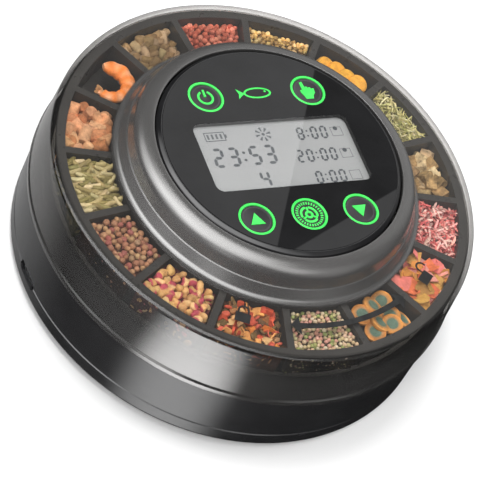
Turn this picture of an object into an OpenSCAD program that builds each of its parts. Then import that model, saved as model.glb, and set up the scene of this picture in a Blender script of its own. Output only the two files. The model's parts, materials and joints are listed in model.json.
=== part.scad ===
// Automatic disc fish feeder: a round base with a geared motor, a food ring of sixteen
// open-bottomed cells that turns over a fixed floor, a twist-off clear lid and a central
// control pod with a display and five keys.
// Origin: centre of the resting plane. +Z up, +X to the display's right, +Y to its top.

/* [Body] */
// Radius of the base
base_r = 76.6; // [76.4:0.1:77]
// Radius of the lid at its bottom bead
lid_r = 77.4; // [77.2:0.1:78]
// Wall thickness of the base mouldings
wall = 2; // [1.8:0.1:2.2]
// Height of the underside above the table
underside_z = 2; // [1.8:0.1:2.4]
// Height of the seam between the bottom cover and the base
seam_z = 8; // [7.8:0.1:8.4]
// Edge break of each shell along that seam
seam_edge = 0.4; // [0.3:0.1:0.5]
// Height of the ledge that the lid sits over
ledge_z = 26.9; // [26.5:0.1:27]
// Height of the lid's flat top
deck_z = 51.6; // [51.4:0.1:52]
// Height of the collar in the middle of the lid
collar_z = 63.8; // [63.5:0.1:64]
// Thickness of the clear lid
lid_t = 1.4; // [1.3:0.1:1.6]

/* [Food ring] */
// Number of food cells
cells = 16; // [16:1:16]
// Inner radius of the cells
cell_ri = 53.9; // [53.8:0.1:54]
// Outer radius of the cells
cell_ro = 70.3; // [70:0.1:70.4]
// Outer radius of the food ring
drum_r = 72.1; // [72:0.1:72.2]
// Radius of the lip around the food ring's top
lip_r = 73.4; // [73.2:0.1:73.5]
// Thickness of the walls between cells
divider_t = 2.5; // [2.2:0.1:2.8]
// Width of the foot of each wall, which closes the outlet when parked
foot_w = 8; // [7.8:0.1:8.4]
// Depth of the food cells
cell_depth = 13; // [12.8:0.1:13.2]
// Direction of one wall at rest, in degrees
divider_phase = 98.25; // [98:0.05:98.5]

/* [Outlet] */
// Width of the slot that food falls through
outlet_w = 6.4; // [6:0.1:6.8]
// Length of the slot, along the radius
outlet_l = 15; // [14.6:0.1:15.2]

/* [Drive] */
// Teeth on the ring gear
ring_teeth = 100; // [100:4:100]
// Teeth on the drive pinion
pinion_teeth = 12; // [12:1:12]
// Tooth module
tooth_module = 1; // [1:1:1]
// Direction of the motor shaft from the centre, in degrees
motor_angle = 0; // [-10:1:10]
// Radius of the motor shaft
shaft_r = 2.5; // [2.4:0.1:2.5]
// Running clearance on the shaft
running_gap = 0.05; // [0.03:0.01:0.08]

/* [Control pod] */
// Outer radius of the pod
pod_r = 43.4; // [43.2:0.1:43.5]
// Radius of the glossy front panel
panel_r = 41.6; // [41.4:0.1:41.8]
// Width of the display window
window_w = 58.5; // [56:0.5:60]
// Depth of the display window
window_d = 27.9; // [26:0.5:28]
// Distance from the middle to the side keys
key_x = 19.5; // [19:0.1:20]
// Distance from the middle to the upper keys
key_y_top = 23.8; // [23.6:0.1:24.5]
// Distance from the middle to the lower keys
key_y_low = 26.9; // [26.5:0.1:27]
// Outer radius of the light ring around each key
light_ring_r = 6.4; // [6:0.1:6.5]
// How far a key can be pressed
key_travel = 0.4; // [0.3:0.1:0.4]

/* [Lid lock] */
// Angle that the lid turns to unlock, in degrees
twist = 18; // [16:1:20]
// Number of locking lugs
lugs = 4; // [4:1:4]

/* [Hidden] */
$fn = 96;
small_fn = 32;
eps = 0.01;

// Heights
floor_z = underside_z + wall;
deck_gap = 0.3;
lip_t = 1.2;
deck_under = deck_z - lid_t;
drum_top = deck_under - deck_gap;
drum_bottom = drum_top - cell_depth;
glide_gap = 0.05;
platform_z = drum_bottom - 0.25;
platform_under = platform_z - wall;
panel_z = collar_z + 0.7;
panel_t = 1.6;
panel_under = panel_z - panel_t;
pod_floor = 50;
pcb_t = 1.6;
pcb_z = pod_floor + wall + 3.2;
pcb_top = pcb_z + pcb_t;

// Base shell
upstand_ro = 73.6;
upstand_ri = 71.6;
column_ro = 36.4;
column_ri = 34.4;
boss_r = 3.6;
boss_at = 70.4;
edge = 0.4;
groove = 0.3;
ridge_t = 1.4;
ridge_gap = 0.1;
ridge_ro = base_r - wall - ridge_gap;
ridge_h = 1.6;
column_gap = 0.2;
seat_gap = 0.05;
rib_t = 2.4;
cover_screw_angles = [45, 135, 225, 315];
cover_screw_r = 1.5;
cover_screw_l = 12;
cover_head_r = 2.8;
cover_head_h = 0.8;
cover_head_z = underside_z + 0.9;
foot_at = 62;
foot_r = 6;
foot_angles = [20, 160, 200, 340];
foot_sink = 0.6;
foot_bevel = 0.8;
seal_ri = 75.1;
seal_ro = 76.3;
seal_t = 0.4;
glide_ri = 70.5;
glide_ro = 71.9;
tab_z = ledge_z + 2.7;
tab_t = 1.6;
tab_reach = 1.3;

// Lid
lid_bottom = ledge_z + 0.5;
rim_r = 75.5;
corner_r = 1.6;
bell_foot_r = 54.6;
collar_ri = 43.9;
lug_h = 1.8;
lug_half = 5;

// Outlet
slot_at = (cell_ri + cell_ro) / 2;
chute_t = 1.2;
chute_gap = 0.1;
chute_ear = 2.5;
chute_ear_t = 1;
foot_edge = 0.8;
foot_h = 4.2;

// Drive
gear_pitch_r = ring_teeth * tooth_module / 2;
pinion_pitch_r = pinion_teeth * tooth_module / 2;
shaft_at = gear_pitch_r - pinion_pitch_r;
addendum = 0.7 * tooth_module;
dedendum = 0.95 * tooth_module;
backlash = 0.12;
pressure_angle = 20;
gear_z = platform_z + 3.2;
gear_h = 5;
gear_ro = cell_ri - 1.4;
flange_w = 3.4;
spigot_ro = gear_ro - 0.3;
spigot_ri = gear_ro - 2;
spigot_h = 2.4;
motor_r = 14;
motor_h = 19;
motor_top = platform_under - 2;
motor_offset = 8;
ear_at = 17.5;
ear_t = 0.8;
shaft_flat = 1.75;
shaft_inside = 5.5;
pinion_gap = 0.4;
pinion_hub_r = 4.4;
bush_r = 4;
bush_flange = 0.8;
bush_head = 0.5;
ear_w = 7;
motor_nose_r = 4.5;
motor_nose_h = 1.4;
post_r = 3.4;
magnet_at = 62;
magnet_angle = divider_phase + 360 / cells * 4;
magnet_r = 2;
magnet_h = 2;
magnet_gap = 0.03;

// Keys: name, x, y
KEYS = [
    ["key_power", -key_x, key_y_top],
    ["key_manual", key_x, key_y_top],
    ["key_up", -key_x, -key_y_low],
    ["key_set", 0, -key_y_low],
    ["key_down", key_x, -key_y_low]
];
key_r = light_ring_r - 0.95;
light_ring_ri = light_ring_r - 0.85;
key_flange_r = 6.9;
key_flange_t = 0.9;
key_stem_r = 1.8;
key_dish = 0.5;
key_lip = 0.3;
guide_flange_r = 6.8;
guide_flange_t = 0.8;
panel_hole_gap = 0.05;
key_top = panel_z - 0.2;
switch_top = panel_under - 3.4;
switch_w = 6;
switch_button_r = 1.75;
switch_button_h = 0.7;

// Pod inside
pod_wall_top = panel_under - 0.9;
window_y = -1.3;
window_r = 3;
panel_step = 1.4;
bezel_bevel_w = 0.5;
pcb_r = 38.6;
lcd_w = 64;
lcd_d = 33;
lcd_t = 2;
lcd_top = panel_under - 0.3;
frame_t = 1.4;
pcb_screw_angles = [0, 62, 118, 180, 218, 322];
pcb_screw_at = 35.2;
pcb_screw_r = 0.9;
pcb_post_r = 2.4;
pod_screw_angles = [40, 140, 220, 320];
pod_screw_at = 30.4;
pod_screw_r = 1;
pod_post_r = 2.8;
wire_passage_r = 12;

// Battery and socket
cell_batt_r = 9.2;
cell_batt_l = 65;
batt_x = -10;
batt_y = -30;
batt_z = floor_z + 2 + cell_batt_r;
batt_lead_x = batt_x + cell_batt_l / 2 + 3.2;
batt_lead_z = batt_z + cell_batt_r + 2.5;
batt_button_r = 3.2;
batt_button_h = 1;
tab_w = 6;
tab_metal_t = 0.2;
cradle_wall = 2;
cradle_gap = 0.1;
wire_r = 0.9;
wire_bend = 4;
port_angle = 182;
port_w = 12;
port_h = 3.8;
usb_z = seam_z;
usb_w = 8.94;
usb_h = 3.2;
usb_l = 7.4;
usb_x = base_r - 1.2;
usb_wall = 0.3;
usb_tongue_w = 6.7;
usb_tongue_t = 0.7;
usb_board_t = 1;
usb_board_z = usb_z - usb_h / 2 - usb_board_t;
usb_board_l = 13.6;
usb_board_w = 16;
usb_board_x = usb_x - 16.5;
usb_screw_x = usb_x - 14;
usb_screw_y = 5.2;
usb_screw_r = 0.8;
port_in = wall + 2;

// ---------- shared shapes ----------

// A plain ring between two radii and two heights
module ring(ro, ri, z0, z1) {
    translate([0, 0, z0])
    difference() {
        cylinder(r = ro, h = z1 - z0);
        translate([0, 0, -1]) cylinder(r = ri, h = z1 - z0 + 2);
    }
}

// Part of a ring, from angle a0 to a1
module arc_block(ro, ri, z0, z1, a0, a1) {
    rotate(a0)
    rotate_extrude(angle = a1 - a0)
    translate([ri, z0]) square([ro - ri, z1 - z0]);
}

// Places children at a polar position, turned to face outwards
module at_polar(r, a) {
    rotate(a) translate([r, 0, 0]) children();
}

// A slot with round ends, long side along X
module slot2d(l, w) {
    square([l - w, w], center = true);
    for (s = [-1, 1]) translate([s * (l - w) / 2, 0]) circle(d = w, $fn = small_fn);
}

// A rectangle with round corners
module round_rect(w, d, r) {
    square([w - 2 * r, d], center = true);
    square([w, d - 2 * r], center = true);
    for (x = [-1, 1], y = [-1, 1])
        translate([x * (w / 2 - r), y * (d / 2 - r)]) circle(r = r, $fn = small_fn);
}

// Points on an arc in a profile
function arc(cx, cz, r, a0, a1, n) =
    [for (i = [0:n]) let (a = a0 + (a1 - a0) * i / n) [cx + r * cos(a), cz + r * sin(a)]];

// A pan-head screw: head downwards from z = 0, shank upwards
module screw_up(shank_r, l, head_r, head_h) {
    difference() {
        union() {
            translate([0, 0, -head_h / 2]) cylinder(r = shank_r, h = l + head_h / 2, $fn = small_fn);
            translate([0, 0, -head_h]) cylinder(r = head_r, h = head_h, $fn = small_fn);
        }
        for (a = [0, 90])
            rotate(a) translate([-head_r * 0.55, -0.3, -head_h - 1])
                cube([head_r * 1.1, 0.6, 1 + head_h * 0.6]);
    }
}

// Half angle in degrees of an involute tooth at radius r
function inv_deg(a) = tan(a) * 180 / PI - a;
function base_circle(pitch_r) = pitch_r * cos(pressure_angle);
function roll_angle(pitch_r, r) = r <= base_circle(pitch_r) ? 0 : acos(base_circle(pitch_r) / r);
function tooth_half(teeth, pitch_r, r, thin) =
    90 / teeth - thin / (2 * pitch_r) * 180 / PI
    + inv_deg(pressure_angle) - inv_deg(roll_angle(pitch_r, r));

// Outline of a gear: thin is how much less than half a pitch each tooth measures
function gear_points(teeth, pitch_r, r_root, r_tip, thin) = [
    for (i = [0:teeth - 1])
        let (mid = 360 / teeth * i, r_mid = (r_root + r_tip) / 2)
        for (p = [[r_root, -1], [r_mid, -1], [r_tip, -1], [r_tip, 1], [r_mid, 1], [r_root, 1]])
            let (a = mid + p[1] * tooth_half(teeth, pitch_r, p[0], thin))
            [p[0] * cos(a), p[0] * sin(a)]
];

// ---------- base ----------

// Half section of the base: side wall, ledge under the lid, wall inside the lid, the floor that the
// food slides on with its grooves, the ring that centres the food ring, and the column of the pod
function base_section() = [
    [base_r - wall, seam_z], [base_r - seam_edge, seam_z], [base_r, seam_z + seam_edge],
    [base_r, ledge_z - edge], [base_r - edge, ledge_z],
    [seal_ro, ledge_z], [seal_ro, ledge_z - groove], [seal_ri, ledge_z - groove], [seal_ri, ledge_z],
    [upstand_ro, ledge_z], [upstand_ro, platform_z],
    [glide_ro, platform_z], [glide_ro, platform_z - groove],
    [glide_ri, platform_z - groove], [glide_ri, platform_z],
    [spigot_ro, platform_z], [spigot_ro, platform_z + spigot_h],
    [spigot_ri, platform_z + spigot_h], [spigot_ri, platform_z],
    [column_ro, platform_z], [column_ro, pod_floor], [pod_screw_at - 3, pod_floor],
    [pod_screw_at - 3, pod_floor - wall], [column_ri, pod_floor - wall], [column_ri, platform_under],
    [upstand_ri, platform_under], [upstand_ri, ledge_z - wall], [base_r - wall, ledge_z - wall]
];

module base_housing() {
    color([0.05, 0.05, 0.055])
    difference() {
        union() {
            rotate_extrude() polygon(base_section());
            for (a = cover_screw_angles) at_polar(boss_at, a) screw_column();
            motor_posts();
            lid_tabs();
        }
        // outlet through the floor
        at_polar(slot_at, divider_phase)
            translate([0, 0, platform_under - 1]) linear_extrude(wall + 2) slot2d(outlet_l, outlet_w);
        for (a = cover_screw_angles)
            at_polar(boss_at, a)
                translate([0, 0, floor_z - 1])
                    cylinder(r = cover_screw_r + running_gap, h = cover_screw_l + 1);
        for (a = pod_screw_angles)
            at_polar(pod_screw_at, a)
                translate([0, 0, pod_floor - wall - 1])
                    cylinder(r = pod_screw_r + 0.4, h = wall + 2, $fn = small_fn);
        motor_post_holes();
        port_recess();
    }
}

// A column for a cover screw, with a rib that ties it to the side wall
module screw_column() {
    top = ledge_z - wall + 1;
    translate([0, 0, floor_z]) cylinder(r = boss_r, h = top - floor_z);
    translate([0, -rib_t / 2, seam_z + 2]) cube([base_r - 1 - boss_at, rib_t, top - seam_z - 2]);
}

// Tabs that the lid's lugs turn under, each with a stop below it and another at the open position
module lid_tabs() {
    inner = upstand_ro - 0.5;
    outer = upstand_ro + tab_reach;
    for (i = [0:lugs - 1])
        rotate(45 + 360 / lugs * i) {
            arc_block(outer, inner, tab_z, tab_z + tab_t, -8.5, 7);
            arc_block(outer - 0.2, inner - 0.2, ledge_z - 0.5, tab_z + tab_t / 2, -8.2, -7);
            arc_block(outer, inner, ledge_z - 0.5, tab_z + tab_t, twist + 6, twist + 7.5);
        }
}

// Rounded recess around the charging socket, half in each shell
module port_recess() {
    rotate(port_angle)
    translate([base_r - port_in, 0, usb_z])
    rotate([90, 0, 90]) linear_extrude(port_in + 2) slot2d(port_w, port_h);
}

module bottom_cover() {
    color([0.04, 0.04, 0.045])
    difference() {
        union() {
            rotate_extrude()
            polygon([
                [0, underside_z], [base_r - 1.2, underside_z], [base_r - 0.35, underside_z + 0.35],
                [base_r, underside_z + 1.2], [base_r, seam_z - seam_edge], [base_r - seam_edge, seam_z],
                [base_r - wall, seam_z],
                [base_r - wall, floor_z], [0, floor_z]
            ]);
            // ridge that locates the base wall
            ring(ridge_ro, ridge_ro - ridge_t, floor_z - eps, seam_z + ridge_h);
            // posts for the socket board
            for (s = [-1, 1])
                rotate(port_angle) translate([usb_screw_x, s * usb_screw_y, floor_z - eps])
                    cylinder(r = 2, h = usb_board_z - floor_z + eps, $fn = small_fn);
        }
        at_polar(slot_at, divider_phase)
            translate([0, 0, underside_z - 1])
            linear_extrude(wall + 2)
            slot2d(outlet_l + 2 * (chute_t + chute_gap), outlet_w + 2 * (chute_t + chute_gap));
        for (a = cover_screw_angles)
            at_polar(boss_at, a) {
                translate([0, 0, underside_z - 1]) cylinder(r = cover_screw_r + 0.2, h = wall + 2);
                translate([0, 0, underside_z - 1])
                    cylinder(r = cover_head_r + 0.4, h = cover_head_z - underside_z + 1);
                // clearance for the screw columns through the ridge
                translate([0, 0, floor_z - seat_gap]) cylinder(r = boss_r + column_gap, h = seam_z);
            }
        for (a = foot_angles)
            at_polar(foot_at, a)
                translate([0, 0, underside_z - 1]) cylinder(r = foot_r + seat_gap, h = foot_sink + 1);
        for (s = [-1, 1])
            rotate(port_angle) translate([usb_screw_x, s * usb_screw_y, floor_z + eps])
                cylinder(r = usb_screw_r + 0.05, h = 4, $fn = small_fn);
        port_recess();
    }
}

module rubber_feet() {
    color([0.12, 0.12, 0.12])
    for (a = foot_angles)
        at_polar(foot_at, a)
            rotate_extrude()
            polygon([
                [0, 0], [foot_r - foot_bevel, 0], [foot_r, foot_bevel],
                [foot_r, underside_z + foot_sink], [0, underside_z + foot_sink]
            ]);
}

module cover_screws() {
    color([0.6, 0.6, 0.62])
    for (a = cover_screw_angles)
        at_polar(boss_at, a)
            translate([0, 0, cover_head_z])
                screw_up(cover_screw_r, cover_screw_l, cover_head_r, cover_head_h);
}

// Tube that carries food from the floor of the food ring to the underside
module food_chute() {
    color([0.08, 0.08, 0.085])
    at_polar(slot_at, divider_phase)
    difference() {
        union() {
            translate([0, 0, underside_z])
                linear_extrude(platform_under - underside_z)
                    slot2d(outlet_l + 2 * chute_t, outlet_w + 2 * chute_t);
            translate([0, 0, floor_z])
                linear_extrude(chute_ear_t)
                slot2d(outlet_l + 2 * chute_t - 0.4, outlet_w + 2 * (chute_t + chute_ear));
        }
        translate([0, 0, underside_z - 1])
            linear_extrude(platform_under) slot2d(outlet_l, outlet_w);
    }
}

module drum_glide_ring() {
    color([0.9, 0.9, 0.88])
    ring(glide_ro, glide_ri, platform_z - groove, drum_bottom - glide_gap);
}

module lid_seal() {
    color([0.03, 0.03, 0.03])
    ring(seal_ro, seal_ri, ledge_z - groove, ledge_z + seal_t);
}

// ---------- control pod ----------

module pod_housing() {
    color([0.05, 0.05, 0.055])
    difference() {
        union() {
            rotate_extrude()
            polygon([
                [0, pod_floor], [column_ro, pod_floor], [pod_r, pod_floor + 6], [pod_r, pod_wall_top],
                [pod_r - wall, pod_wall_top], [pod_r - wall, pod_floor + 7],
                [column_ro - 1.4, pod_floor + wall],
                [0, pod_floor + wall]
            ]);
            for (a = pcb_screw_angles)
                at_polar(pcb_screw_at, a)
                    translate([0, 0, pod_floor + 1])
                        cylinder(r = pcb_post_r, h = pcb_z - pod_floor - 1, $fn = small_fn);
            for (a = pod_screw_angles)
                at_polar(pod_screw_at, a)
                    translate([0, 0, pod_floor + 1])
                        cylinder(r = pod_post_r, h = pcb_z - pod_floor - 1.4, $fn = small_fn);
        }
        // passage for the wires
        translate([0, 0, pod_floor - 1]) cylinder(r = wire_passage_r, h = wall + 2);
        for (a = pcb_screw_angles)
            at_polar(pcb_screw_at, a)
                translate([0, 0, pod_floor + 1.2]) cylinder(r = pcb_screw_r + 0.05, h = 8, $fn = small_fn);
        for (a = pod_screw_angles)
            at_polar(pod_screw_at, a)
                translate([0, 0, pod_floor - 1]) cylinder(r = pod_screw_r + 0.05, h = 4.4, $fn = small_fn);
    }
}

module pod_screws() {
    color([0.6, 0.6, 0.62])
    for (a = pod_screw_angles)
        at_polar(pod_screw_at, a) translate([0, 0, pod_floor - wall]) screw_up(pod_screw_r, 4.8, 2, 1.2);
}

// Glossy ring around the front panel, with a bevelled edge and a step that holds the panel
module bezel_ring() {
    color([0.02, 0.02, 0.02])
    rotate_extrude()
    polygon([
        [panel_r, panel_z - 0.1], [panel_r + 0.35, panel_z - 0.1],
        [pod_r - bezel_bevel_w, panel_z - 0.65], [pod_r, panel_z - 1.3],
        [pod_r, pod_wall_top], [panel_r - panel_step, pod_wall_top],
        [panel_r - panel_step, panel_under], [panel_r, panel_under]
    ]);
}

module front_panel() {
    color([0.03, 0.03, 0.035])
    difference() {
        translate([0, 0, panel_under]) cylinder(r = panel_r - seat_gap, h = panel_t);
        translate([0, window_y, panel_under - 1])
            linear_extrude(panel_t + 2) round_rect(window_w, window_d, window_r);
        for (k = KEYS)
            translate([k[1], k[2], panel_under - 1])
                cylinder(r = light_ring_r + panel_hole_gap, h = panel_t + 2);
    }
}

module display_window() {
    color([0.75, 0.8, 0.78, 0.4])
    translate([0, window_y, panel_under])
        linear_extrude(panel_t)
        round_rect(window_w - 2 * seat_gap, window_d - 2 * seat_gap, window_r - seat_gap);
}

// Light guides that show as a lit ring around each key
module key_light_rings() {
    color([0.3, 0.95, 0.35])
    for (k = KEYS)
        translate([k[1], k[2], 0]) {
            ring(light_ring_r, light_ring_ri, panel_under - eps, panel_z + 0.05);
            ring(guide_flange_r, light_ring_ri, panel_under - guide_flange_t, panel_under);
        }
}

// A round key with a dished top, a flange that holds it in and a stem over its switch
module key_cap(k) {
    stem_z = switch_top + key_travel + 0.1;
    flange_z = panel_under - guide_flange_t - key_flange_t - 0.2;
    flange_top = flange_z + key_flange_t;
    dish_r = (pow(key_r - key_lip, 2) + pow(key_dish, 2)) / (2 * key_dish);
    dish_half = asin((key_r - key_lip) / dish_r);
    translate([k[1], k[2], 0])
    rotate_extrude()
    polygon(concat(
        [[0, stem_z], [key_stem_r, stem_z], [key_stem_r, flange_z], [key_flange_r, flange_z],
         [key_flange_r, flange_top], [key_r, flange_top], [key_r, key_top]],
        arc(0, key_top - key_dish + dish_r, dish_r, 270 + dish_half, 270, 8)
    ));
}

module key_power() { color([0.04, 0.04, 0.045]) key_cap(KEYS[0]); }
module key_manual() { color([0.04, 0.04, 0.045]) key_cap(KEYS[1]); }
module key_up() { color([0.04, 0.04, 0.045]) key_cap(KEYS[2]); }
module key_set() { color([0.04, 0.04, 0.045]) key_cap(KEYS[3]); }
module key_down() { color([0.04, 0.04, 0.045]) key_cap(KEYS[4]); }

module lcd_module() {
    color([0.7, 0.72, 0.7])
    translate([0, window_y, lcd_top - lcd_t]) linear_extrude(lcd_t) square([lcd_w, lcd_d], center = true);
}

// Frame that stands the display off the circuit board
module lcd_frame() {
    color([0.85, 0.85, 0.83])
    translate([0, window_y, pcb_top])
    difference() {
        linear_extrude(lcd_top - 0.5 - pcb_top)
            square([lcd_w + 2 * frame_t, lcd_d + 2 * frame_t], center = true);
        translate([0, 0, lcd_top - lcd_t - pcb_top])
            linear_extrude(lcd_t + 1) square([lcd_w + 0.1, lcd_d + 0.1], center = true);
        translate([0, 0, -1]) linear_extrude(10) square([lcd_w - 3, lcd_d - 3], center = true);
    }
}

module main_pcb() {
    color([0.05, 0.35, 0.15])
    difference() {
        translate([0, 0, pcb_z]) cylinder(r = pcb_r, h = pcb_t);
        for (a = pcb_screw_angles)
            at_polar(pcb_screw_at, a)
                translate([0, 0, pcb_z - 1]) cylinder(r = pcb_screw_r + 0.2, h = pcb_t + 2, $fn = small_fn);
    }
}

module tact_switches() {
    color([0.2, 0.2, 0.2])
    for (k = KEYS)
        translate([k[1], k[2], pcb_top]) {
            translate([-switch_w / 2, -switch_w / 2, 0])
                cube([switch_w, switch_w, switch_top - pcb_top - switch_button_h]);
            cylinder(r = switch_button_r, h = switch_top - pcb_top, $fn = small_fn);
        }
}

// Small lamps that feed the light rings
module key_leds() {
    color([0.5, 1, 0.5])
    for (k = KEYS, s = [-1, 1])
        translate([k[1] + s * 5 - 0.8, k[2] - 0.4, pcb_top]) cube([1.6, 0.8, 0.7]);
}

module pcb_chips() {
    color([0.1, 0.1, 0.1]) {
        translate([-18, -3.5, pcb_z - 1.4]) cube([7, 7, 1.4]);
        translate([14, -2.5, pcb_z - 1.2]) cube([6, 5, 1.2]);
        translate([-3, 16, pcb_z - 2.5]) cube([6, 6, 2.5]);
        translate([20, 10, pcb_z - 1.2]) cube([4, 4, 1.2]);
    }
}

module pcb_screws() {
    color([0.6, 0.6, 0.62])
    for (a = pcb_screw_angles)
        at_polar(pcb_screw_at, a) translate([0, 0, pcb_top]) mirror([0, 0, 1])
            screw_up(pcb_screw_r, 4.4, 1.7, 1);
}

// ---------- power ----------

module battery_cell() {
    color([0.1, 0.35, 0.6])
    translate([batt_x, batt_y, batt_z]) rotate([0, 90, 0]) {
        cylinder(r = cell_batt_r, h = cell_batt_l, center = true);
        translate([0, 0, cell_batt_l / 2 - eps])
            cylinder(r = batt_button_r, h = batt_button_h, $fn = small_fn);
    }
}

module battery_tabs() {
    tab_low = 5;
    tab_high = batt_lead_z - wire_r - 0.1 - batt_z;
    color([0.75, 0.75, 0.75])
    translate([batt_x, batt_y, batt_z])
    for (x = [-cell_batt_l / 2 - tab_metal_t, cell_batt_l / 2 + batt_button_h])
        translate([x, -tab_w / 2, -tab_low]) cube([tab_metal_t, tab_w, tab_high + tab_low]);
}

module battery_cradle() {
    outer = cell_batt_r + cradle_wall;
    space_l = cell_batt_l + 2 * (batt_button_h + 0.3);
    full_l = space_l + 2 * cradle_wall - 0.6;
    color([0.15, 0.15, 0.15])
    translate([batt_x, batt_y, 0])
    difference() {
        translate([-full_l / 2, -outer, floor_z]) cube([full_l, 2 * outer, outer]);
        translate([0, 0, batt_z])
            rotate([0, 90, 0]) cylinder(r = cell_batt_r + cradle_gap, h = space_l, center = true);
        translate([-space_l / 2, cradle_wall - outer, batt_z - 5.5])
            cube([space_l, 2 * (outer - cradle_wall), 20]);
    }
}

module usb_c_receptacle() {
    color([0.75, 0.75, 0.77])
    rotate(port_angle)
    translate([usb_x - usb_l, 0, usb_z]) rotate([90, 0, 90])
    difference() {
        linear_extrude(usb_l) slot2d(usb_w, usb_h);
        translate([0, 0, 1]) linear_extrude(usb_l)
        difference() {
            slot2d(usb_w - 2 * usb_wall, usb_h - 2 * usb_wall);
            square([usb_tongue_w, usb_tongue_t], center = true);
        }
    }
}

module usb_board() {
    color([0.05, 0.35, 0.15])
    rotate(port_angle)
    difference() {
        translate([usb_board_x, -usb_board_w / 2, usb_board_z])
            cube([usb_board_l, usb_board_w, usb_board_t]);
        for (s = [-1, 1])
            translate([usb_screw_x, s * usb_screw_y, usb_board_z - 1])
                cylinder(r = usb_screw_r + 0.3, h = 3, $fn = small_fn);
    }
}

module usb_board_screws() {
    color([0.6, 0.6, 0.62])
    rotate(port_angle)
    for (s = [-1, 1])
        translate([usb_screw_x, s * usb_screw_y, usb_board_z + usb_board_t])
            mirror([0, 0, 1]) screw_up(usb_screw_r, 2.2, 1.6, 1);
}

// ---------- drive ----------

// The shaft sits off the motor's axis, towards the middle of the feeder
module at_shaft() { rotate(motor_angle) translate([shaft_at, 0, 0]) children(); }
module at_motor() { at_shaft() translate([-motor_offset, 0, 0]) children(); }

module motor_posts() {
    at_motor() for (s = [-1, 1])
        translate([0, s * ear_at, motor_top])
            cylinder(r = post_r, h = platform_under - motor_top + 1, $fn = small_fn);
}

module motor_post_holes() {
    at_motor() for (s = [-1, 1])
        translate([0, s * ear_at, motor_top - 1]) cylinder(r = 1.3, h = 4.4, $fn = small_fn);
    at_shaft() translate([0, 0, platform_under - 1]) cylinder(r = bush_r + seat_gap, h = wall + 2);
}

module gear_motor() {
    color([0.75, 0.76, 0.78])
    difference() {
        union() {
            at_motor() translate([0, 0, motor_top - motor_h]) cylinder(r = motor_r, h = motor_h);
            at_motor()
                translate([0, 0, motor_top - ear_t])
                linear_extrude(ear_t) rotate(90) slot2d(2 * ear_at + ear_w, ear_w);
            at_shaft() translate([0, 0, motor_top - 1]) cylinder(r = motor_nose_r, h = motor_nose_h + 1);
        }
        at_shaft() translate([0, 0, motor_top - 6]) cylinder(r = shaft_r + running_gap, h = 12);
        at_motor() for (s = [-1, 1])
            translate([0, s * ear_at, motor_top - 3]) cylinder(r = 1.6, h = 6, $fn = small_fn);
    }
}

module motor_screws() {
    color([0.6, 0.6, 0.62])
    at_motor() for (s = [-1, 1])
        translate([0, s * ear_at, motor_top - ear_t]) screw_up(1.25, 4, 2.6, 1.4);
}

module shaft_bush() {
    color([0.8, 0.65, 0.3])
    at_shaft()
    difference() {
        union() {
            translate([0, 0, platform_under]) cylinder(r = bush_r, h = wall + bush_head);
            translate([0, 0, platform_z]) cylinder(r = bush_r + bush_flange, h = bush_head);
        }
        translate([0, 0, platform_under - 1]) cylinder(r = shaft_r + running_gap, h = wall + 3);
    }
}

module flat_sided(r, flat, h, gap) {
    intersection() {
        cylinder(r = r + gap, h = h);
        translate([-flat - gap, -r - 1, 0]) cube([2 * (flat + gap), 2 * r + 2, h]);
    }
}

module motor_shaft() {
    color([0.85, 0.85, 0.87])
    at_shaft() {
        translate([0, 0, motor_top - shaft_inside])
            cylinder(r = shaft_r, h = gear_z - 1 - motor_top + shaft_inside);
        translate([0, 0, gear_z - 1 - eps]) flat_sided(shaft_r, shaft_flat, gear_h + 1.6, 0);
    }
}

module drive_pinion() {
    color([0.92, 0.92, 0.9])
    at_shaft()
    difference() {
        union() {
            translate([0, 0, gear_z]) linear_extrude(gear_h - pinion_gap)
                polygon(gear_points(pinion_teeth, pinion_pitch_r, pinion_pitch_r - dedendum,
                                    pinion_pitch_r + addendum, backlash));
            translate([0, 0, gear_z - 0.9]) cylinder(r = pinion_hub_r, h = 1);
        }
        translate([0, 0, gear_z - 2]) flat_sided(shaft_r, shaft_flat, gear_h + 4, 0.03);
    }
}

// Internal gear under the food ring's inner flange
module ring_gear() {
    color([0.92, 0.92, 0.9])
    difference() {
        translate([0, 0, gear_z]) cylinder(r = gear_ro - 0.05, h = gear_h);
        translate([0, 0, gear_z - 1])
        linear_extrude(gear_h + 2) rotate(motor_angle)
            polygon(gear_points(ring_teeth, gear_pitch_r, gear_pitch_r - addendum,
                                gear_pitch_r + dedendum, -backlash));
    }
}

module hall_sensor_board() {
    color([0.05, 0.35, 0.15])
    at_polar(magnet_at, magnet_angle) {
        translate([-4, -3, platform_under - 1]) cube([8, 6, 1]);
        translate([-2, -1.5, platform_under - 1.8]) cube([4, 3, 0.8 + eps]);
    }
}

// ---------- food ring ----------

// A wall between two cells, thin above with a wide sloping foot, drawn past the ring all round
module divider() {
    translate([cell_ri - 2, 0, drum_bottom])
    rotate([90, 0, 90]) linear_extrude(cell_ro - cell_ri + 4)
    polygon([
        [-foot_w / 2, -2], [foot_w / 2, -2], [foot_w / 2, foot_edge], [divider_t / 2, foot_h],
        [divider_t / 2, cell_depth + 2], [-divider_t / 2, cell_depth + 2],
        [-divider_t / 2, foot_h], [-foot_w / 2, foot_edge]
    ]);
}

// The space inside one cell
module cell_space() {
    pitch = 360 / cells;
    difference() {
        arc_block(cell_ro, cell_ri, drum_bottom - 1, drum_top + 1, 0, pitch);
        divider();
        rotate(pitch) divider();
    }
}

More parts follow.
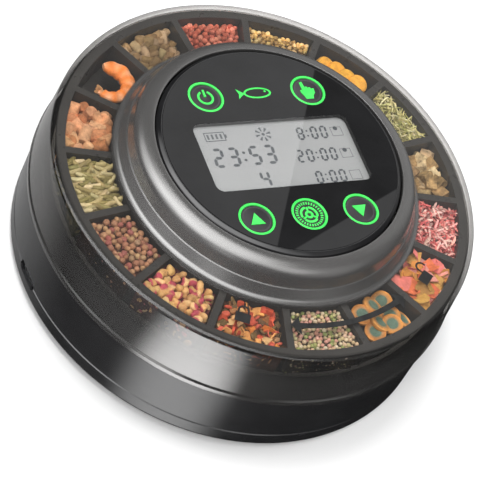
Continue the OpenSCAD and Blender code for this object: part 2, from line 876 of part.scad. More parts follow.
module food_drum() {
    color([0.25, 0.25, 0.26, 0.8])
    difference() {
        rotate_extrude()
        polygon([
            [gear_ro, drum_bottom], [drum_r, drum_bottom], [drum_r, drum_top - lip_t],
            [lip_r, drum_top - lip_t], [lip_r, drum_top], [gear_ro - flange_w, drum_top],
            [gear_ro - flange_w, gear_z + gear_h], [gear_ro, gear_z + gear_h]
        ]);
        for (i = [0:cells - 1]) rotate(divider_phase + 360 / cells * i) cell_space();
        at_polar(magnet_at, magnet_angle)
            translate([0, 0, drum_bottom - 1])
                cylinder(r = magnet_r + magnet_gap, h = magnet_h + 1, $fn = small_fn);
    }
}

module home_magnet() {
    color([0.7, 0.7, 0.72])
    at_polar(magnet_at, magnet_angle)
        translate([0, 0, drum_bottom + 0.02]) cylinder(r = magnet_r, h = magnet_h - 0.02, $fn = small_fn);
}

// ---------- lid ----------

// Half section of the lid's outer face, from the bottom edge to the collar
function lid_outer() = concat(
    [[lid_r, lid_bottom], [lid_r, lid_bottom + 1.9], [lid_r - 0.35, lid_bottom + 2.5]],
    arc(rim_r - corner_r, deck_z - corner_r, corner_r, 0, 90, 6),
    [[bell_foot_r, deck_z]],
    arc(bell_foot_r, deck_z + 2, 2, 270, 215, 4),
    arc(bell_foot_r - 6.6, deck_z + 2.6, 4.6, 0, 40, 4),
    arc(collar_ri + 1.1, collar_z - 4.6, 4.4, 15, 80, 6),
    [[collar_ri + 0.9, collar_z], [collar_ri, collar_z]]
);

// Half section of the inner face, from the collar to the bottom edge
function lid_inner() = concat(
    [[collar_ri, collar_z - 2.2], [collar_ri + 0.6, collar_z - 2.2]],
    arc(collar_ri + 0.6, collar_z - 5.2, 3, 80, 15, 4),
    arc(bell_foot_r - 8.2, deck_z + 1.6, 4.2, 40, 0, 4),
    [[bell_foot_r - 2.2, deck_under], [rim_r - lid_t, deck_under]],
    [[lid_r - lid_t - 0.5, lid_bottom + 4], [lid_r - lid_t, lid_bottom]]
);

module lid() {
    color([0.55, 0.53, 0.52, 0.35]) {
        rotate_extrude() polygon(concat(lid_outer(), lid_inner()));
        for (i = [0:lugs - 1])
            rotate(45 + 360 / lugs * i)
                arc_block(lid_r - lid_t + 0.3, upstand_ro + 0.3, lid_bottom, lid_bottom + lug_h,
                          -lug_half, lug_half);
    }
}

// ---------- wiring ----------

// A wire that runs in along a radius at height z, then turns up
module wire(a, from_r, to_r, z, z_top, r) {
    rotate(a) {
        translate([to_r + wire_bend, 0, z])
            rotate([0, 90, 0]) cylinder(r = r, h = from_r - to_r - wire_bend, $fn = small_fn);
        translate([to_r + wire_bend, 0, z + wire_bend])
            rotate([90, 0, 0]) rotate(180)
            rotate_extrude(angle = 90) translate([wire_bend, 0]) circle(r = r, $fn = small_fn);
        translate([to_r, 0, z + wire_bend]) cylinder(r = r, h = z_top - z - wire_bend, $fn = small_fn);
    }
}

module wire_harness() {
    top = pcb_z - 0.05;
    color([0.7, 0.15, 0.12]) {
        wire(port_angle, usb_x - 15, 9, usb_board_z + 2.4, top, wire_r);
        wire(atan2(batt_y, batt_lead_x), norm([batt_y, batt_lead_x]), 8, batt_lead_z, top, wire_r);
        wire(motor_angle, shaft_at - motor_offset - motor_r - seat_gap, 6, motor_top - 12, top, 1.2);
    }
}

base_housing();
bottom_cover();
rubber_feet();
cover_screws();
food_chute();
drum_glide_ring();
lid_seal();
pod_housing();
pod_screws();
bezel_ring();
front_panel();
display_window();
key_light_rings();
lcd_module();
lcd_frame();
main_pcb();
tact_switches();
key_leds();
pcb_chips();
pcb_screws();
battery_cell();
battery_tabs();
battery_cradle();
usb_c_receptacle();
usb_board();
usb_board_screws();
gear_motor();
motor_screws();
shaft_bush();
hall_sensor_board();
wire_harness();
food_drum();
ring_gear();
home_magnet();
motor_shaft();
drive_pinion();
lid();
key_power();
key_manual();
key_up();
key_set();
key_down();
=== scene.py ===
import json
import math

import bmesh
import bpy
import numpy as np
from mathutils import Matrix, Vector


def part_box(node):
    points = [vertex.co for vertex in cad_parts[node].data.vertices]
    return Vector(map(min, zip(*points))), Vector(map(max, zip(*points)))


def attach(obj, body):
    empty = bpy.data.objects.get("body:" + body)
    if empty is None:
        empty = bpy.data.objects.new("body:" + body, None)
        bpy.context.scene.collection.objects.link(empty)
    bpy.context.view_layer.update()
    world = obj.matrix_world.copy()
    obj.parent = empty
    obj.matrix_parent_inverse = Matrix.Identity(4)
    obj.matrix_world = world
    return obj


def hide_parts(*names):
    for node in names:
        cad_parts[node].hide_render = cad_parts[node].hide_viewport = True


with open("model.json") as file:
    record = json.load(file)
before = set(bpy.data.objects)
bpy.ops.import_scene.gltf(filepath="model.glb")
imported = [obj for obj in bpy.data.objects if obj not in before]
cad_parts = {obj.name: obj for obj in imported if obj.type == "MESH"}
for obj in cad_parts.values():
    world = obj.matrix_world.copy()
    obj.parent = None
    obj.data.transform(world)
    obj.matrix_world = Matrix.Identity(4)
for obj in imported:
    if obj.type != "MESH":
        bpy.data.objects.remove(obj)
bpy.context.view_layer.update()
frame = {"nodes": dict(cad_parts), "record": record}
MM = 0.001
TAU = 2 * math.pi
SEED = 7001

# --- places taken from the frame

NODES = frame["nodes"]
CELLS = [o for o in frame["record"]["physics"]["openings"] if o["name"].startswith("food_cell")]
KEYS = ["key_power", "key_manual", "key_up", "key_set", "key_down"]


def low(node):
    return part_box(node)[0]


def high(node):
    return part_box(node)[1]


def middle(node):
    return (low(node) + high(node)) / 2


def cell_angle(opening):
    lo, hi = opening["box_m"]
    return math.atan2(lo[1] + hi[1], lo[0] + hi[0])


def clockwise(first):
    """The food cells in clockwise order, beginning with the one nearest to the angle."""
    start = min(CELLS, key=lambda cell: abs(math.remainder(cell_angle(cell) - first, TAU)))
    return sorted(CELLS, key=lambda cell: (cell_angle(start) - cell_angle(cell)) % TAU)


CLOCKWISE = clockwise(math.radians(-48.0))
DRUM_TOP = high("food_drum").z
DRUM_BOTTOM = low("food_drum").z
CELL_RO = high("food_drum").x - 3.1 * MM
CELL_RI = high("ring_gear").x + 1.45 * MM
CELL_MID = (CELL_RI + CELL_RO) / 2
FOOD_TOP = DRUM_TOP - 0.8 * MM
DIVIDER = 2.5 * MM
LID_TOP = high("lid").z
LID_BOTTOM = low("lid").z
LID_R = high("lid").x
LID_WALL = 1.4
DECK = LID_BOTTOM + 24.2 * MM
PANEL_Z = high("front_panel").z
PANEL_R = high("front_panel").x
POD_R = high("pod_housing").x

# --- materials


def rgba(colour):
    """A grey level or an (r, g, b) colour as a socket value."""
    return (*colour, 1) if isinstance(colour, tuple) else (colour, colour, colour, 1)


class Nodes:
    """A small helper that builds a material's or the world's node tree."""

    def __init__(self, name, world=False):
        self.owner = (bpy.data.worlds if world else bpy.data.materials).new(name)
        self.owner.use_nodes = True
        self.tree = self.owner.node_tree
        self.tree.nodes.clear()
        self.out = self.add("OutputWorld" if world else "OutputMaterial")

    def add(self, kind, sockets=None, **settings):
        """Adds a shader node. Each socket takes a value or another node's output."""
        node = self.tree.nodes.new("ShaderNode" + kind)
        for key, value in settings.items():
            setattr(node, key, value)
        for key, value in (sockets or {}).items():
            if isinstance(value, bpy.types.NodeSocket):
                self.tree.links.new(value, node.inputs[key])
            else:
                node.inputs[key].default_value = value
        return node

    def surface(self, node):
        self.tree.links.new(node.outputs[0], self.out.inputs["Surface"])
        return self.owner

    def principled(self, colour, rough, more):
        return self.surface(self.add("BsdfPrincipled", {"Base Color": colour, "Roughness": rough, **more}))

    def mix(self, share, first, second):
        return self.add("MixShader", {0: share, 1: first.outputs[0], 2: second.outputs[0]})

    def noise(self, scale, detail=3.0, rough=0.5, stretch=(1, 1, 1)):
        place = self.add("Mapping", {"Vector": self.add("TexCoord").outputs["Object"], "Scale": stretch})
        sockets = {"Vector": place.outputs[0], "Scale": scale, "Detail": detail, "Roughness": rough}
        return self.add("TexNoise", sockets).outputs[0]

    def ramp(self, value, at_start, at_end, start=0.3, end=0.7, kind="LINEAR"):
        """at_start up to start, at_end from end on, and between them in between."""
        sockets = {"Value": value, "From Min": start, "From Max": end, "To Min": at_start, "To Max": at_end}
        return self.add("MapRange", sockets, interpolation_type=kind).outputs[0]

    def colours(self, value, dark, light, start=0.3, end=0.7):
        node = self.add("ValToRGB", {"Fac": value})
        for element, place, colour in zip(node.color_ramp.elements, (start, end), (dark, light)):
            element.position = place
            element.color = rgba(colour)
        return node.outputs[0]

    def bump(self, height, strength, distance):
        sockets = {"Height": height, "Strength": strength, "Distance": distance}
        return self.add("Bump", sockets).outputs[0]

    def math(self, operation, a, b=0.0):
        return self.add("Math", {0: a, 1: b}, operation=operation).outputs[0]

    def plus(self, a, b):
        return self.math("ADD", a, b)

    def times(self, a, b):
        return self.math("MULTIPLY", a, b)

    def front_side(self):
        return self.math("SUBTRACT", 1.0, self.add("NewGeometry").outputs["Backfacing"])

    def radius(self):
        """Distance from the Z axis, and height."""
        x, y, z = self.add("SeparateXYZ", {0: self.add("TexCoord").outputs["Object"]}).outputs
        return self.math("SQRT", self.plus(self.times(x, x), self.times(y, y))), z


def plastic(name, dark, light, rough, scale=300, grain=0.0, grain_scale=1500, metallic=0.0, glow=None):
    """Moulded plastic, rubber or metal: colour and roughness vary a little, with an optional grain."""
    n = Nodes(name)
    more = {"Metallic": metallic}
    if grain:
        more["Normal"] = n.bump(n.noise(grain_scale, 3.0, 0.6), grain, 0.0001)
    if glow:
        more |= {"Emission Color": rgba(glow), "Emission Strength": 0.25}
    return n.principled(n.colours(n.noise(scale, 4.0, 0.55), dark, light),
                        n.ramp(n.noise(scale * 2.3, 5.0, 0.6), *rough), more)


def gloss_black(name, base, rough, specular=0.5, wave=0.05):
    """Polished black plastic with faint moulding waviness and hairline rub marks."""
    n = Nodes(name)
    more = {"Specular IOR Level": specular}
    if wave:
        more["Normal"] = n.bump(n.noise(35, 2.0), wave, 0.0002)
    dark, light = (base, base, base * 1.05), (base * 1.7, base * 1.7, base * 1.8)
    return n.principled(n.colours(n.noise(60, 4.0, 0.6), dark, light),
                        n.ramp(n.noise(240, 6.0, 0.7, (1, 1, 6)), *rough), more)


def clear_sheet(n, tint, milk, haze, extra, polish):
    """Thin clear plastic: a tinted see-through body with some milky haze, and a polished surface
    that mirrors more at a slant."""
    body = n.mix(haze, n.add("BsdfTransparent", {"Color": tint}), n.add("BsdfDiffuse", {"Color": milk}))
    mirror = n.plus(n.add("Fresnel", {"IOR": 1.49}).outputs[0], extra)
    return n.surface(n.mix(n.times(mirror, n.front_side()), body, n.add("BsdfGlossy", polish)))


def window_material():
    """The clear window over the display."""
    n = Nodes("window_clear")
    facing = n.add("LayerWeight", {"Blend": 0.5}).outputs["Facing"]
    polish = {"Color": rgba(1.0), "Roughness": n.ramp(n.noise(180, 4.0, 0.6), 0.004, 0.008)}
    return clear_sheet(n, n.colours(facing, 0.97, 0.8, 0.55, 1.0), n.colours(n.noise(45), 0.4, 0.448),
                       n.ramp(facing, 0.01, 0.022, 0.2, 1.0), -0.018, polish)


def lid_material():
    """Smoky lid: clear over the food, hazier down the wall, and a dark satin bell in the middle."""
    n = Nodes("lid_smoke")
    r, z = n.radius()
    zones = (
        n.ramp(r, 1.0, 0.0, 54.2 * MM, 55.0 * MM),
        n.ramp(r, 0.0, 1.0, 73.3 * MM, 73.9 * MM),
        n.ramp(z, 1.0, 0.0, DECK - 1.9 * MM, DECK - 0.7 * MM),
        n.ramp(z, 1.0, 0.0, DECK - 12 * MM, DECK - 6.5 * MM),
    )

    def by_zone(plain, bell, rim=0.0, wall=0.0, skirt=0.0):
        """The value on the flat ring, plus what the bell, rim, wall and lower wall add to it."""
        for zone, share in zip(zones, (bell, rim, wall, skirt)):
            if share:
                plain = n.plus(plain, n.times(zone, share))
        return plain

    facing = n.add("LayerWeight", {"Blend": 0.5}).outputs["Facing"]
    clear = n.times(by_zone(0.96, -0.88, -0.27, -0.05, -0.3), n.ramp(facing, 1.0, 0.45, 0.5, 1.0))
    tint = n.add("CombineColor", {i: n.times(clear, share) for i, share in enumerate((1.0, 0.985, 0.97))})
    polish = {
        "Color": rgba((1.0, 0.99, 0.98)), "Normal": n.bump(n.noise(24, 1.0), 0.02, 0.0002),
        "Roughness": by_zone(n.ramp(n.noise(60), 0.055, 0.075), 0.19, wall=0.06),
    }
    milk = n.colours(n.noise(45), (0.105, 0.103, 0.1), (0.12, 0.117, 0.115))
    return clear_sheet(n, tint.outputs[0], milk, by_zone(0.035, 0.4, wall=0.06, skirt=0.1),
                       by_zone(0.0, 0.08, wall=0.1), polish)


def drum_material():
    """Dark smoky plastic: nearly solid dividers, and an outer wall that lets the food show."""
    n = Nodes("drum_smoke")
    r, z = n.radius()
    into_cell = n.times(n.front_side(), n.ramp(r, 1.0, 0.0, CELL_RO + 0.3 * MM, CELL_RO + 0.4 * MM))
    lip = n.ramp(z, 0.0, 1.0, DRUM_TOP - 1.3 * MM, DRUM_TOP - 1.25 * MM)
    inside = n.ramp(r, 1.0, 0.0, CELL_RO - 0.2 * MM, CELL_RO - 0.1 * MM)
    solid = n.math("MAXIMUM", n.math("MAXIMUM", into_cell, lip), inside)
    more = {
        "Specular IOR Level": 0.4, "Normal": n.bump(n.noise(900), 0.05, 0.0001),
        "Alpha": n.ramp(solid, 0.03, 1.0, 0.0, 1.0),
    }
    return n.principled(n.colours(n.noise(70, 4.0, 0.55), 0.03, (0.042, 0.042, 0.041)),
                        n.ramp(n.noise(200, 5.0, 0.6), 0.25, 0.4), more)


def food_material(name, rough=0.6, grain=0.5, grain_scale=900, blotches=0.25, gloss=0.35):
    """Dry food: each piece's colour with its painted shade and light, blotched and grainy, and painted light
    that makes it paler near the clear outer wall.
    """
    n = Nodes(name)
    r, z = n.radius()
    # painted light: near the clear outer wall the food is brightened up to 2.4 times, for the light that
    # comes through the wall
    painted_wall_light = n.times(n.ramp(r, 0.0, 1.4, CELL_RO - 4.5 * MM, CELL_RO - 1.0 * MM),
                      n.ramp(z, 1.0, 0.0, DRUM_TOP - 3.5 * MM, DRUM_TOP - 2.0 * MM))
    blotch = n.ramp(n.noise(420, 5.0, 0.65), 1.0 - blotches, 1.0 + blotches)
    # the attribute holds each piece's colour with its painted shade and painted light
    own = n.add("Attribute", attribute_name="colour_and_painted_light").outputs["Color"]
    shown = n.add("HueSaturation", {"Color": own, "Value": n.times(blotch, n.plus(1.0, painted_wall_light))})
    more = {"Specular IOR Level": gloss, "Normal": n.bump(n.noise(grain_scale, 5.0, 0.65), grain, 0.0004)}
    return n.principled(shown.outputs[0], n.ramp(n.noise(700, 4.0, 0.6), rough - 0.12, rough + 0.12), more)


def lcd_material():
    """The grey, faintly lit face of the display."""
    n = Nodes("lcd_face")
    more = {
        "Emission Color": rgba((0.48, 0.49, 0.485)), "Emission Strength": 0.1,
        "Normal": n.bump(n.noise(3500, 2.0), 0.1, 0.00005),
    }
    return n.principled(n.colours(n.noise(40), (0.18, 0.183, 0.183), (0.205, 0.208, 0.205)),
                        n.ramp(n.noise(900), 0.4, 0.55), more)


def floor_material():
    n = Nodes("floor_pale")
    return n.principled(n.colours(n.noise(4, 2.0), 0.66, 0.69), n.ramp(n.noise(30), 0.55, 0.65),
                        {"Specular IOR Level": 0.2})


# --- mesh helpers


def make_object(name, verts, faces, material, body, colours=None, sharp=40.0, outward=False):
    mesh = bpy.data.meshes.new(name)
    mesh.from_pydata([tuple(v) for v in verts], [], [tuple(f) for f in faces])
    mesh.update()
    if colours is not None:
        # the colours, with any painted shade and painted light, go into this attribute
        layer = mesh.color_attributes.new("colour_and_painted_light", "FLOAT_COLOR", "POINT")
        layer.data.foreach_set("color", np.asarray(colours, np.float32).ravel())
    ob = bpy.data.objects.new(name, mesh)
    bpy.context.scene.collection.objects.link(ob)
    mesh.materials.append(material)
    shade(mesh, sharp, outward)
    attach(ob, body)
    return ob


def shade(mesh, degrees, outward):
    """Smooth shading with edges sharper than the angle kept crisp. outward also turns the faces out."""
    bm = bmesh.new()
    bm.from_mesh(mesh)
    if outward:
        bmesh.ops.recalc_face_normals(bm, faces=bm.faces)
    limit = math.radians(degrees)
    for face in bm.faces:
        face.smooth = True
    for edge in bm.edges:
        edge.smooth = not (len(edge.link_faces) == 2 and edge.calc_face_angle(0.0) > limit)
    bm.to_mesh(mesh)
    bm.free()


def rounded(corners, steps):
    """A profile from corners (r, z, fillet radius), with each fillet drawn as an arc."""
    out = []
    for i, (x, y, radius) in enumerate(corners):
        if radius <= 0:
            out.append((x, y))
            continue
        p = Vector((x, y))
        a = (Vector(corners[i - 1][:2]) - p).normalized()
        b = (Vector(corners[(i + 1) % len(corners)][:2]) - p).normalized()
        half = a.angle(b) / 2
        reach = radius / math.tan(half)
        centre = p + (a + b).normalized() * (radius / math.sin(half))
        start = p + a * reach - centre
        turn = start.angle_signed(p + b * reach - centre)
        for k in range(steps + 1):
            c, s = math.cos(-turn * k / steps), math.sin(-turn * k / steps)
            out.append((centre.x + start.x * c - start.y * s, centre.y + start.x * s + start.y * c))
    return out


def lathe(name, node, profile, material, body, steps, centres=((0, 0),), sharp=30.0):
    """Turns a closed profile of (r, z) in mm about a vertical axis at each centre, as one piece that
    stands for a CAD node."""
    verts, faces = [], []
    for x, y in centres:
        rows = []
        for r, z in profile:
            count = steps if r > 1e-6 else 1
            rows.append([len(verts) + k % count for k in range(steps)])
            verts += [(px, py, z * MM) for px, py in circle(r * MM, steps, x, y)[:count]]
        for row, after in zip(rows, rows[1:] + rows[:1]):
            for k in range(steps):
                m = (k + 1) % steps
                face = list(dict.fromkeys((row[k], row[m], after[m], after[k])))
                if len(face) > 2:
                    faces.append(face)
    ob = make_object(name, verts, faces, material, body, sharp=sharp, outward=True)
    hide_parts(node)


def plate(name, outlines, z0, z1, material, body, centre=(0, 0), bevel=0.0):
    """Flat shapes with some thickness, from outlines in mm about the centre, joined as one piece."""
    verts, faces = [], []
    for outline in outlines:
        count = len(outline)
        area = sum(x0 * y1 - x1 * y0 for (x0, y0), (x1, y1) in zip(outline, outline[1:] + outline[:1]))
        points = outline if area > 0 else outline[::-1]
        under = [len(verts) + i for i in range(count)]
        over = [i + count for i in under]
        for z in (z0, z1):
            verts += [(x * MM + centre[0], y * MM + centre[1], z) for x, y in points]
        faces += [under[::-1], over]
        faces += [[under[i - 1], under[i], over[i], over[i - 1]] for i in range(count)]
    ob = make_object(name, verts, faces, material, body, sharp=35)
    if bevel:
        soft = ob.modifiers.new("bevel", "BEVEL")
        soft.width = bevel
        soft.segments = 2
        soft.limit_method = "ANGLE"


def polar(r, degrees):
    return r * math.cos(math.radians(degrees)), r * math.sin(math.radians(degrees))


def circle(radius, steps, x=0.0, y=0.0):
    angles = [TAU * k / steps for k in range(steps)]
    return [(x + radius * math.cos(a), y + radius * math.sin(a)) for a in angles]


def oblong(x0, y0, x1, y1):
    return [(x0, y0), (x1, y0), (x1, y1), (x0, y1)]


def arc_band(r0, r1, a0, a1, steps=36):
    """A band between two radii, from angle a0 to a1 in degrees."""
    angles = [a0 + (a1 - a0) * k / steps for k in range(steps + 1)]
    return [polar(r0, a) for a in angles] + [polar(r1, a) for a in reversed(angles)]


# --- shared materials

BLACK_BASE = gloss_black("black_base", 0.01, (0.16, 0.24))
BLACK_COVER = gloss_black("black_cover", 0.01, (0.16, 0.24))
BLACK_BEZEL = gloss_black("black_bezel", 0.006, (0.08, 0.14))
BLACK_PANEL = gloss_black("black_panel", 0.005, (0.004, 0.01), 0.16, 0.0)
KEY_BLACK = gloss_black("key_black", 0.02, (0.14, 0.2))
STEEL = plastic("steel", (0.5, 0.5, 0.51), (0.62, 0.62, 0.63), (0.25, 0.4), metallic=1.0)
BRASS = plastic("brass", (0.7, 0.5, 0.2), (0.8, 0.6, 0.28), (0.25, 0.35), metallic=1.0)
NICKEL = plastic("nickel", (0.6, 0.58, 0.52), (0.7, 0.68, 0.62), (0.2, 0.3), 400, metallic=1.0)
RUBBER = plastic("rubber", 0.02, 0.035, (0.7, 0.85), 200, grain=0.25)
GREEN_LIGHT = plastic("green_light", (0.03, 0.42, 0.06), (0.05, 0.5, 0.08), (0.3, 0.4),
                      glow=(0.03, 0.62, 0.08))
BOARD = plastic("board", (0.01, 0.13, 0.05), (0.02, 0.2, 0.08), (0.3, 0.45), 500, grain=0.2, grain_scale=2500)
WHITE_PLASTIC = plastic("white_plastic", (0.68, 0.67, 0.62), (0.78, 0.77, 0.72), (0.35, 0.5), 200, grain=0.15)
DARK_PLASTIC = plastic("dark_plastic", 0.018, 0.03, (0.45, 0.6), 200, grain=0.3)
CHIP = plastic("chip", (0.012, 0.012, 0.013), 0.025, (0.5, 0.6), 600, grain=0.25)
BATTERY = plastic("battery_wrap", (0.02, 0.09, 0.3), (0.03, 0.12, 0.38), (0.2, 0.3), 150, grain=0.08)
WIRE = plastic("wire_sleeve", (0.35, 0.02, 0.02), (0.5, 0.04, 0.03), (0.35, 0.5), grain=0.1)
PRINT = plastic("print_black", 0.006, 0.014, (0.45, 0.6), 400, grain=0.1)
SEGMENT = plastic("lcd_segment", (0.03, 0.035, 0.04), (0.045, 0.05, 0.055), (0.4, 0.5), 500)
LID_SMOKE = lid_material()

CAD_NODES_OF = (
    (BLACK_BASE, "base_housing pod_housing"), (BLACK_COVER, "bottom_cover"), (BLACK_BEZEL, "bezel_ring"),
    (BLACK_PANEL, "front_panel"), (KEY_BLACK, " ".join(KEYS)), (RUBBER, "rubber_feet lid_seal"),
    (STEEL, "cover_screws pod_screws pcb_screws usb_board_screws motor_screws usb_c_receptacle"),
    (STEEL, "gear_motor motor_shaft"), (BRASS, "shaft_bush"), (NICKEL, "battery_tabs home_magnet"),
    (DARK_PLASTIC, "food_chute tact_switches battery_cradle"), (CHIP, "pcb_chips"),
    (WHITE_PLASTIC, "drum_glide_ring lcd_module lcd_frame ring_gear drive_pinion"),
    (BOARD, "main_pcb usb_board hall_sensor_board"), (BATTERY, "battery_cell"), (WIRE, "wire_harness"),
    (GREEN_LIGHT, "key_leds key_light_rings"), (LID_SMOKE, "lid"), (drum_material(), "food_drum"),
    (window_material(), "display_window"),
)


def dress_cad_nodes():
    for material, names in CAD_NODES_OF:
        for name in names.split():
            mesh = NODES[name].data
            if not mesh.materials:
                mesh.materials.append(material)
            for i in range(len(mesh.materials)):
                mesh.materials[i] = material


# --- lid


def build_lid():
    """The clear lid as one smooth turned shell, with its four locking lugs."""
    r, b, t, deck = LID_R / MM, LID_BOTTOM / MM, LID_TOP / MM, DECK / MM
    collar = POD_R / MM + 0.5
    outer = [
        (r, b, 0.25), (r, b + 1.9, 0.4), (r - 0.45, b + 2.6, 0.5), (r - 1.9, deck, 1.7), (53.4, deck, 2.2),
        (51.15, deck + 4.3, 0.25), (50.85, deck + 4.3, 0.2), (49.6, t - 2.6, 5.6), (46.4, t, 5.6),
        (collar, t, 0.15),
    ]
    inner = [
        (collar, t - 1.7, 0.2), (46.0, t - 1.7, 1.5), (48.3, t - 3.7, 1.5), (49.6, deck + 3.4, 0.4),
        (52.2, deck - LID_WALL, 0.8), (r - 1.9 - LID_WALL, deck - LID_WALL, 0.7),
        (r - 0.6 - LID_WALL, b + 3.6, 0.5), (r - LID_WALL, b, 0.2),
    ]
    lathe("lid_shell", "lid", rounded(outer + inner, 8), LID_SMOKE, "lid", 360)
    bore = r - LID_WALL
    lugs = [arc_band(bore - 1.9, bore + 0.3, middle_angle - 5, middle_angle + 5, 8)
            for middle_angle in (45, 135, 225, 315)]
    plate("lid_lugs", lugs, LID_BOTTOM, LID_BOTTOM + 1.8 * MM, LID_SMOKE, "lid")


# --- control pod


def build_bezel():
    """The bevelled ring round the panel, with a ledge under the panel's edge."""
    p, z, r = PANEL_R / MM + 0.05, PANEL_Z / MM, POD_R / MM
    foot, under = low("bezel_ring").z / MM, low("front_panel").z / MM
    corners = [
        (p, z - 0.1, 0.08), (p + 0.45, z - 0.1, 0.15), (r - 0.45, z - 0.8, 0.25), (r, z - 1.4, 0.2),
        (r, foot, 0), (p - 1.4, foot, 0), (p - 1.4, under, 0), (p, under, 0),
    ]
    lathe("bezel_ring_bevelled", "bezel_ring", rounded(corners, 5), BLACK_BEZEL, "base", 320)


def build_keys():
    """Dished keys, each inside a lit ring."""
    centres = [middle(key).xy for key in KEYS]
    cap, dish_r, dish_depth, flange, steps = 5.45, 5.1, 0.5, 6.9, 10
    for key, centre in zip(KEYS, centres):
        bottom, top = low(key).z / MM, high(key).z / MM
        under = [(0, bottom), (1.8, bottom), (1.8, bottom + 0.25), (flange, bottom + 0.25),
                 (flange, bottom + 1.15), (cap, bottom + 1.15)]
        rim = rounded([(cap, top - 1.6, 0), (cap, top, 0.18), (dish_r, top, 0.1)], 4)
        dish = [(dish_r - dish_r * k / steps, top - dish_depth * math.sin(math.pi / 2 * k / steps))
                for k in range(1, steps + 1)]
        lathe(key + "_cap", key, under + rim + dish, KEY_BLACK, key, 96, [centre])
    outer, inner, base = 6.4, 5.55, low("key_light_rings").z / MM
    top = high("key_light_rings").z / MM
    profile = rounded([(inner, base, 0), (outer + 0.8, base, 0), (outer + 0.8, base + 0.8, 0),
                       (outer, base + 0.8, 0), (outer, top, 0.2), (inner, top, 0.2)], 5)
    lathe("key_light_rings_lit", "key_light_rings", profile, GREEN_LIGHT, "base", 96,
          centres, 35)


def build_icons():
    """Green signs on the keys, each riding on its key."""

    def sign(key, name, outlines, sink=0.14):
        top = high(key).z
        plate(name, outlines, top - 0.5 * MM, top - sink * MM, GREEN_LIGHT, key,
              middle(key).xy)

    sign("key_power", "sign_power", [arc_band(2.2, 2.95, 118, 422), oblong(-0.38, 0.4, 0.38, 3.3)])
    sign("key_up", "sign_up", [[(-2.6, -1.9), (2.6, -1.9), (0.0, 2.6)]])
    sign("key_down", "sign_down", [[(-2.6, 1.9), (2.6, 1.9), (0.0, -2.6)]])
    hand = [
        (-1.6, -3.3), (1.3, -3.3), (1.5, -2.2), (2.6, -0.8), (2.7, 0.9), (2.1, 1.1), (1.8, 0.7), (1.5, 1.5),
        (0.9, 1.6), (0.7, 1.1), (0.4, 1.9), (-0.3, 1.9), (-0.5, 1.3), (-0.8, 4.0), (-1.3, 4.5), (-2.0, 4.0),
        (-1.7, 0.2), (-2.0, 0.7), (-2.7, 0.5), (-2.6, -0.4), (-1.9, -2.0),
    ]
    sign("key_manual", "sign_hand", [hand])
    sign("key_set", "sign_ticks", [arc_band(3.95, 4.9, a - 2.8, a + 2.8, 2) for a in range(0, 360, 12)], 0.01)
    gear = [arc_band(2.5, 3.3, a, a + 96, 16) for a in (-18, 102, 222)] + [arc_band(0.75, 1.5, 0, 360, 30)]
    gear += [arc_band(1.45, 3.0, a - 8, a + 8, 3) for a in (90, 210, 330)]
    sign("key_set", "sign_gear", gear)


def build_panel_mark():
    """A plain fish outline between the upper keys."""
    body = [(5.2 * x, 2.3 * y) for x, y in circle(1.0, 40)]
    inner = [(x * 0.86, y * 0.74) for x, y in body]
    shapes = [[body[k - 1], body[k], inner[k], inner[k - 1]] for k in range(len(body))]
    shapes += [[(-4.9, 0.0), (-7.6, 2.1), (-7.0, 0.0), (-7.6, -2.1)], circle(0.42, 20, 3.0, 0.5)]
    centre = (0.0, middle("key_power").y + 0.3 * MM)
    over = PANEL_Z + 0.04 * MM
    plate("panel_fish_mark", shapes, PANEL_Z, over, GREEN_LIGHT, "base", centre)


SEGMENTS = {"0": "abcdef", "2": "abged", "3": "abgcd", "4": "fgbc", "5": "afgcd", "8": "abcdefg"}
LEAN = 0.07


def digit(char, x, y, h, w):
    """Seven-segment outlines for one figure, lower left corner at (x, y), in mm."""
    t = h * 0.142
    gap = t * 0.14
    half = t / 2

    def across(level):
        return [(gap + half, level), (gap + t, level + half), (w - gap - t, level + half),
                (w - gap - half, level), (w - gap - t, level - half), (gap + t, level - half)]

    def upright(at, y0, y1):
        return [(at, y0 + gap), (at + half, y0 + gap + half), (at + half, y1 - gap - half), (at, y1 - gap),
                (at - half, y1 - gap - half), (at - half, y0 + gap + half)]

    shapes = {
        "a": across(h - half), "g": across(h / 2), "d": across(half),
        "f": upright(half, h / 2, h - half), "b": upright(w - half, h / 2, h - half),
        "e": upright(half, half, h / 2), "c": upright(w - half, half, h / 2),
    }
    return [[(x + px + LEAN * py, y + py) for px, py in shapes[s]] for s in SEGMENTS[char]]


def clock_figures():
    """The time, the count and three meal times, each with its colon."""
    shapes = []
    for text, x, y, h, w, pitch in (
            ("23:53", -25.2, -4.4, 8.0, 4.1, 5.6), ("4", -11.2, -13.8, 7.0, 3.6, 5.0),
            ("8:00", 9.2, 4.4, 5.4, 2.7, 3.7), ("20:00", 5.6, -4.9, 5.4, 2.7, 3.7),
            ("0:00", 9.2, -14.0, 5.2, 2.7, 3.7)):
        for char in text:
            if char == ":":
                for up in (h * 0.3, h * 0.68):
                    shapes.append(circle(h * 0.07, 10, x + w * 0.1 + LEAN * up, y + up))
                x += pitch * 0.42
            else:
                shapes += digit(char, x, y, h, w)
                x += pitch
    return shapes


def hollow_box(x0, y0, x1, y1, t):
    return [oblong(x0, y0, x1, y0 + t), oblong(x0, y1 - t, x1, y1),
            oblong(x0, y0 + t, x0 + t, y1 - t), oblong(x1 - t, y0 + t, x1, y1 - t)]


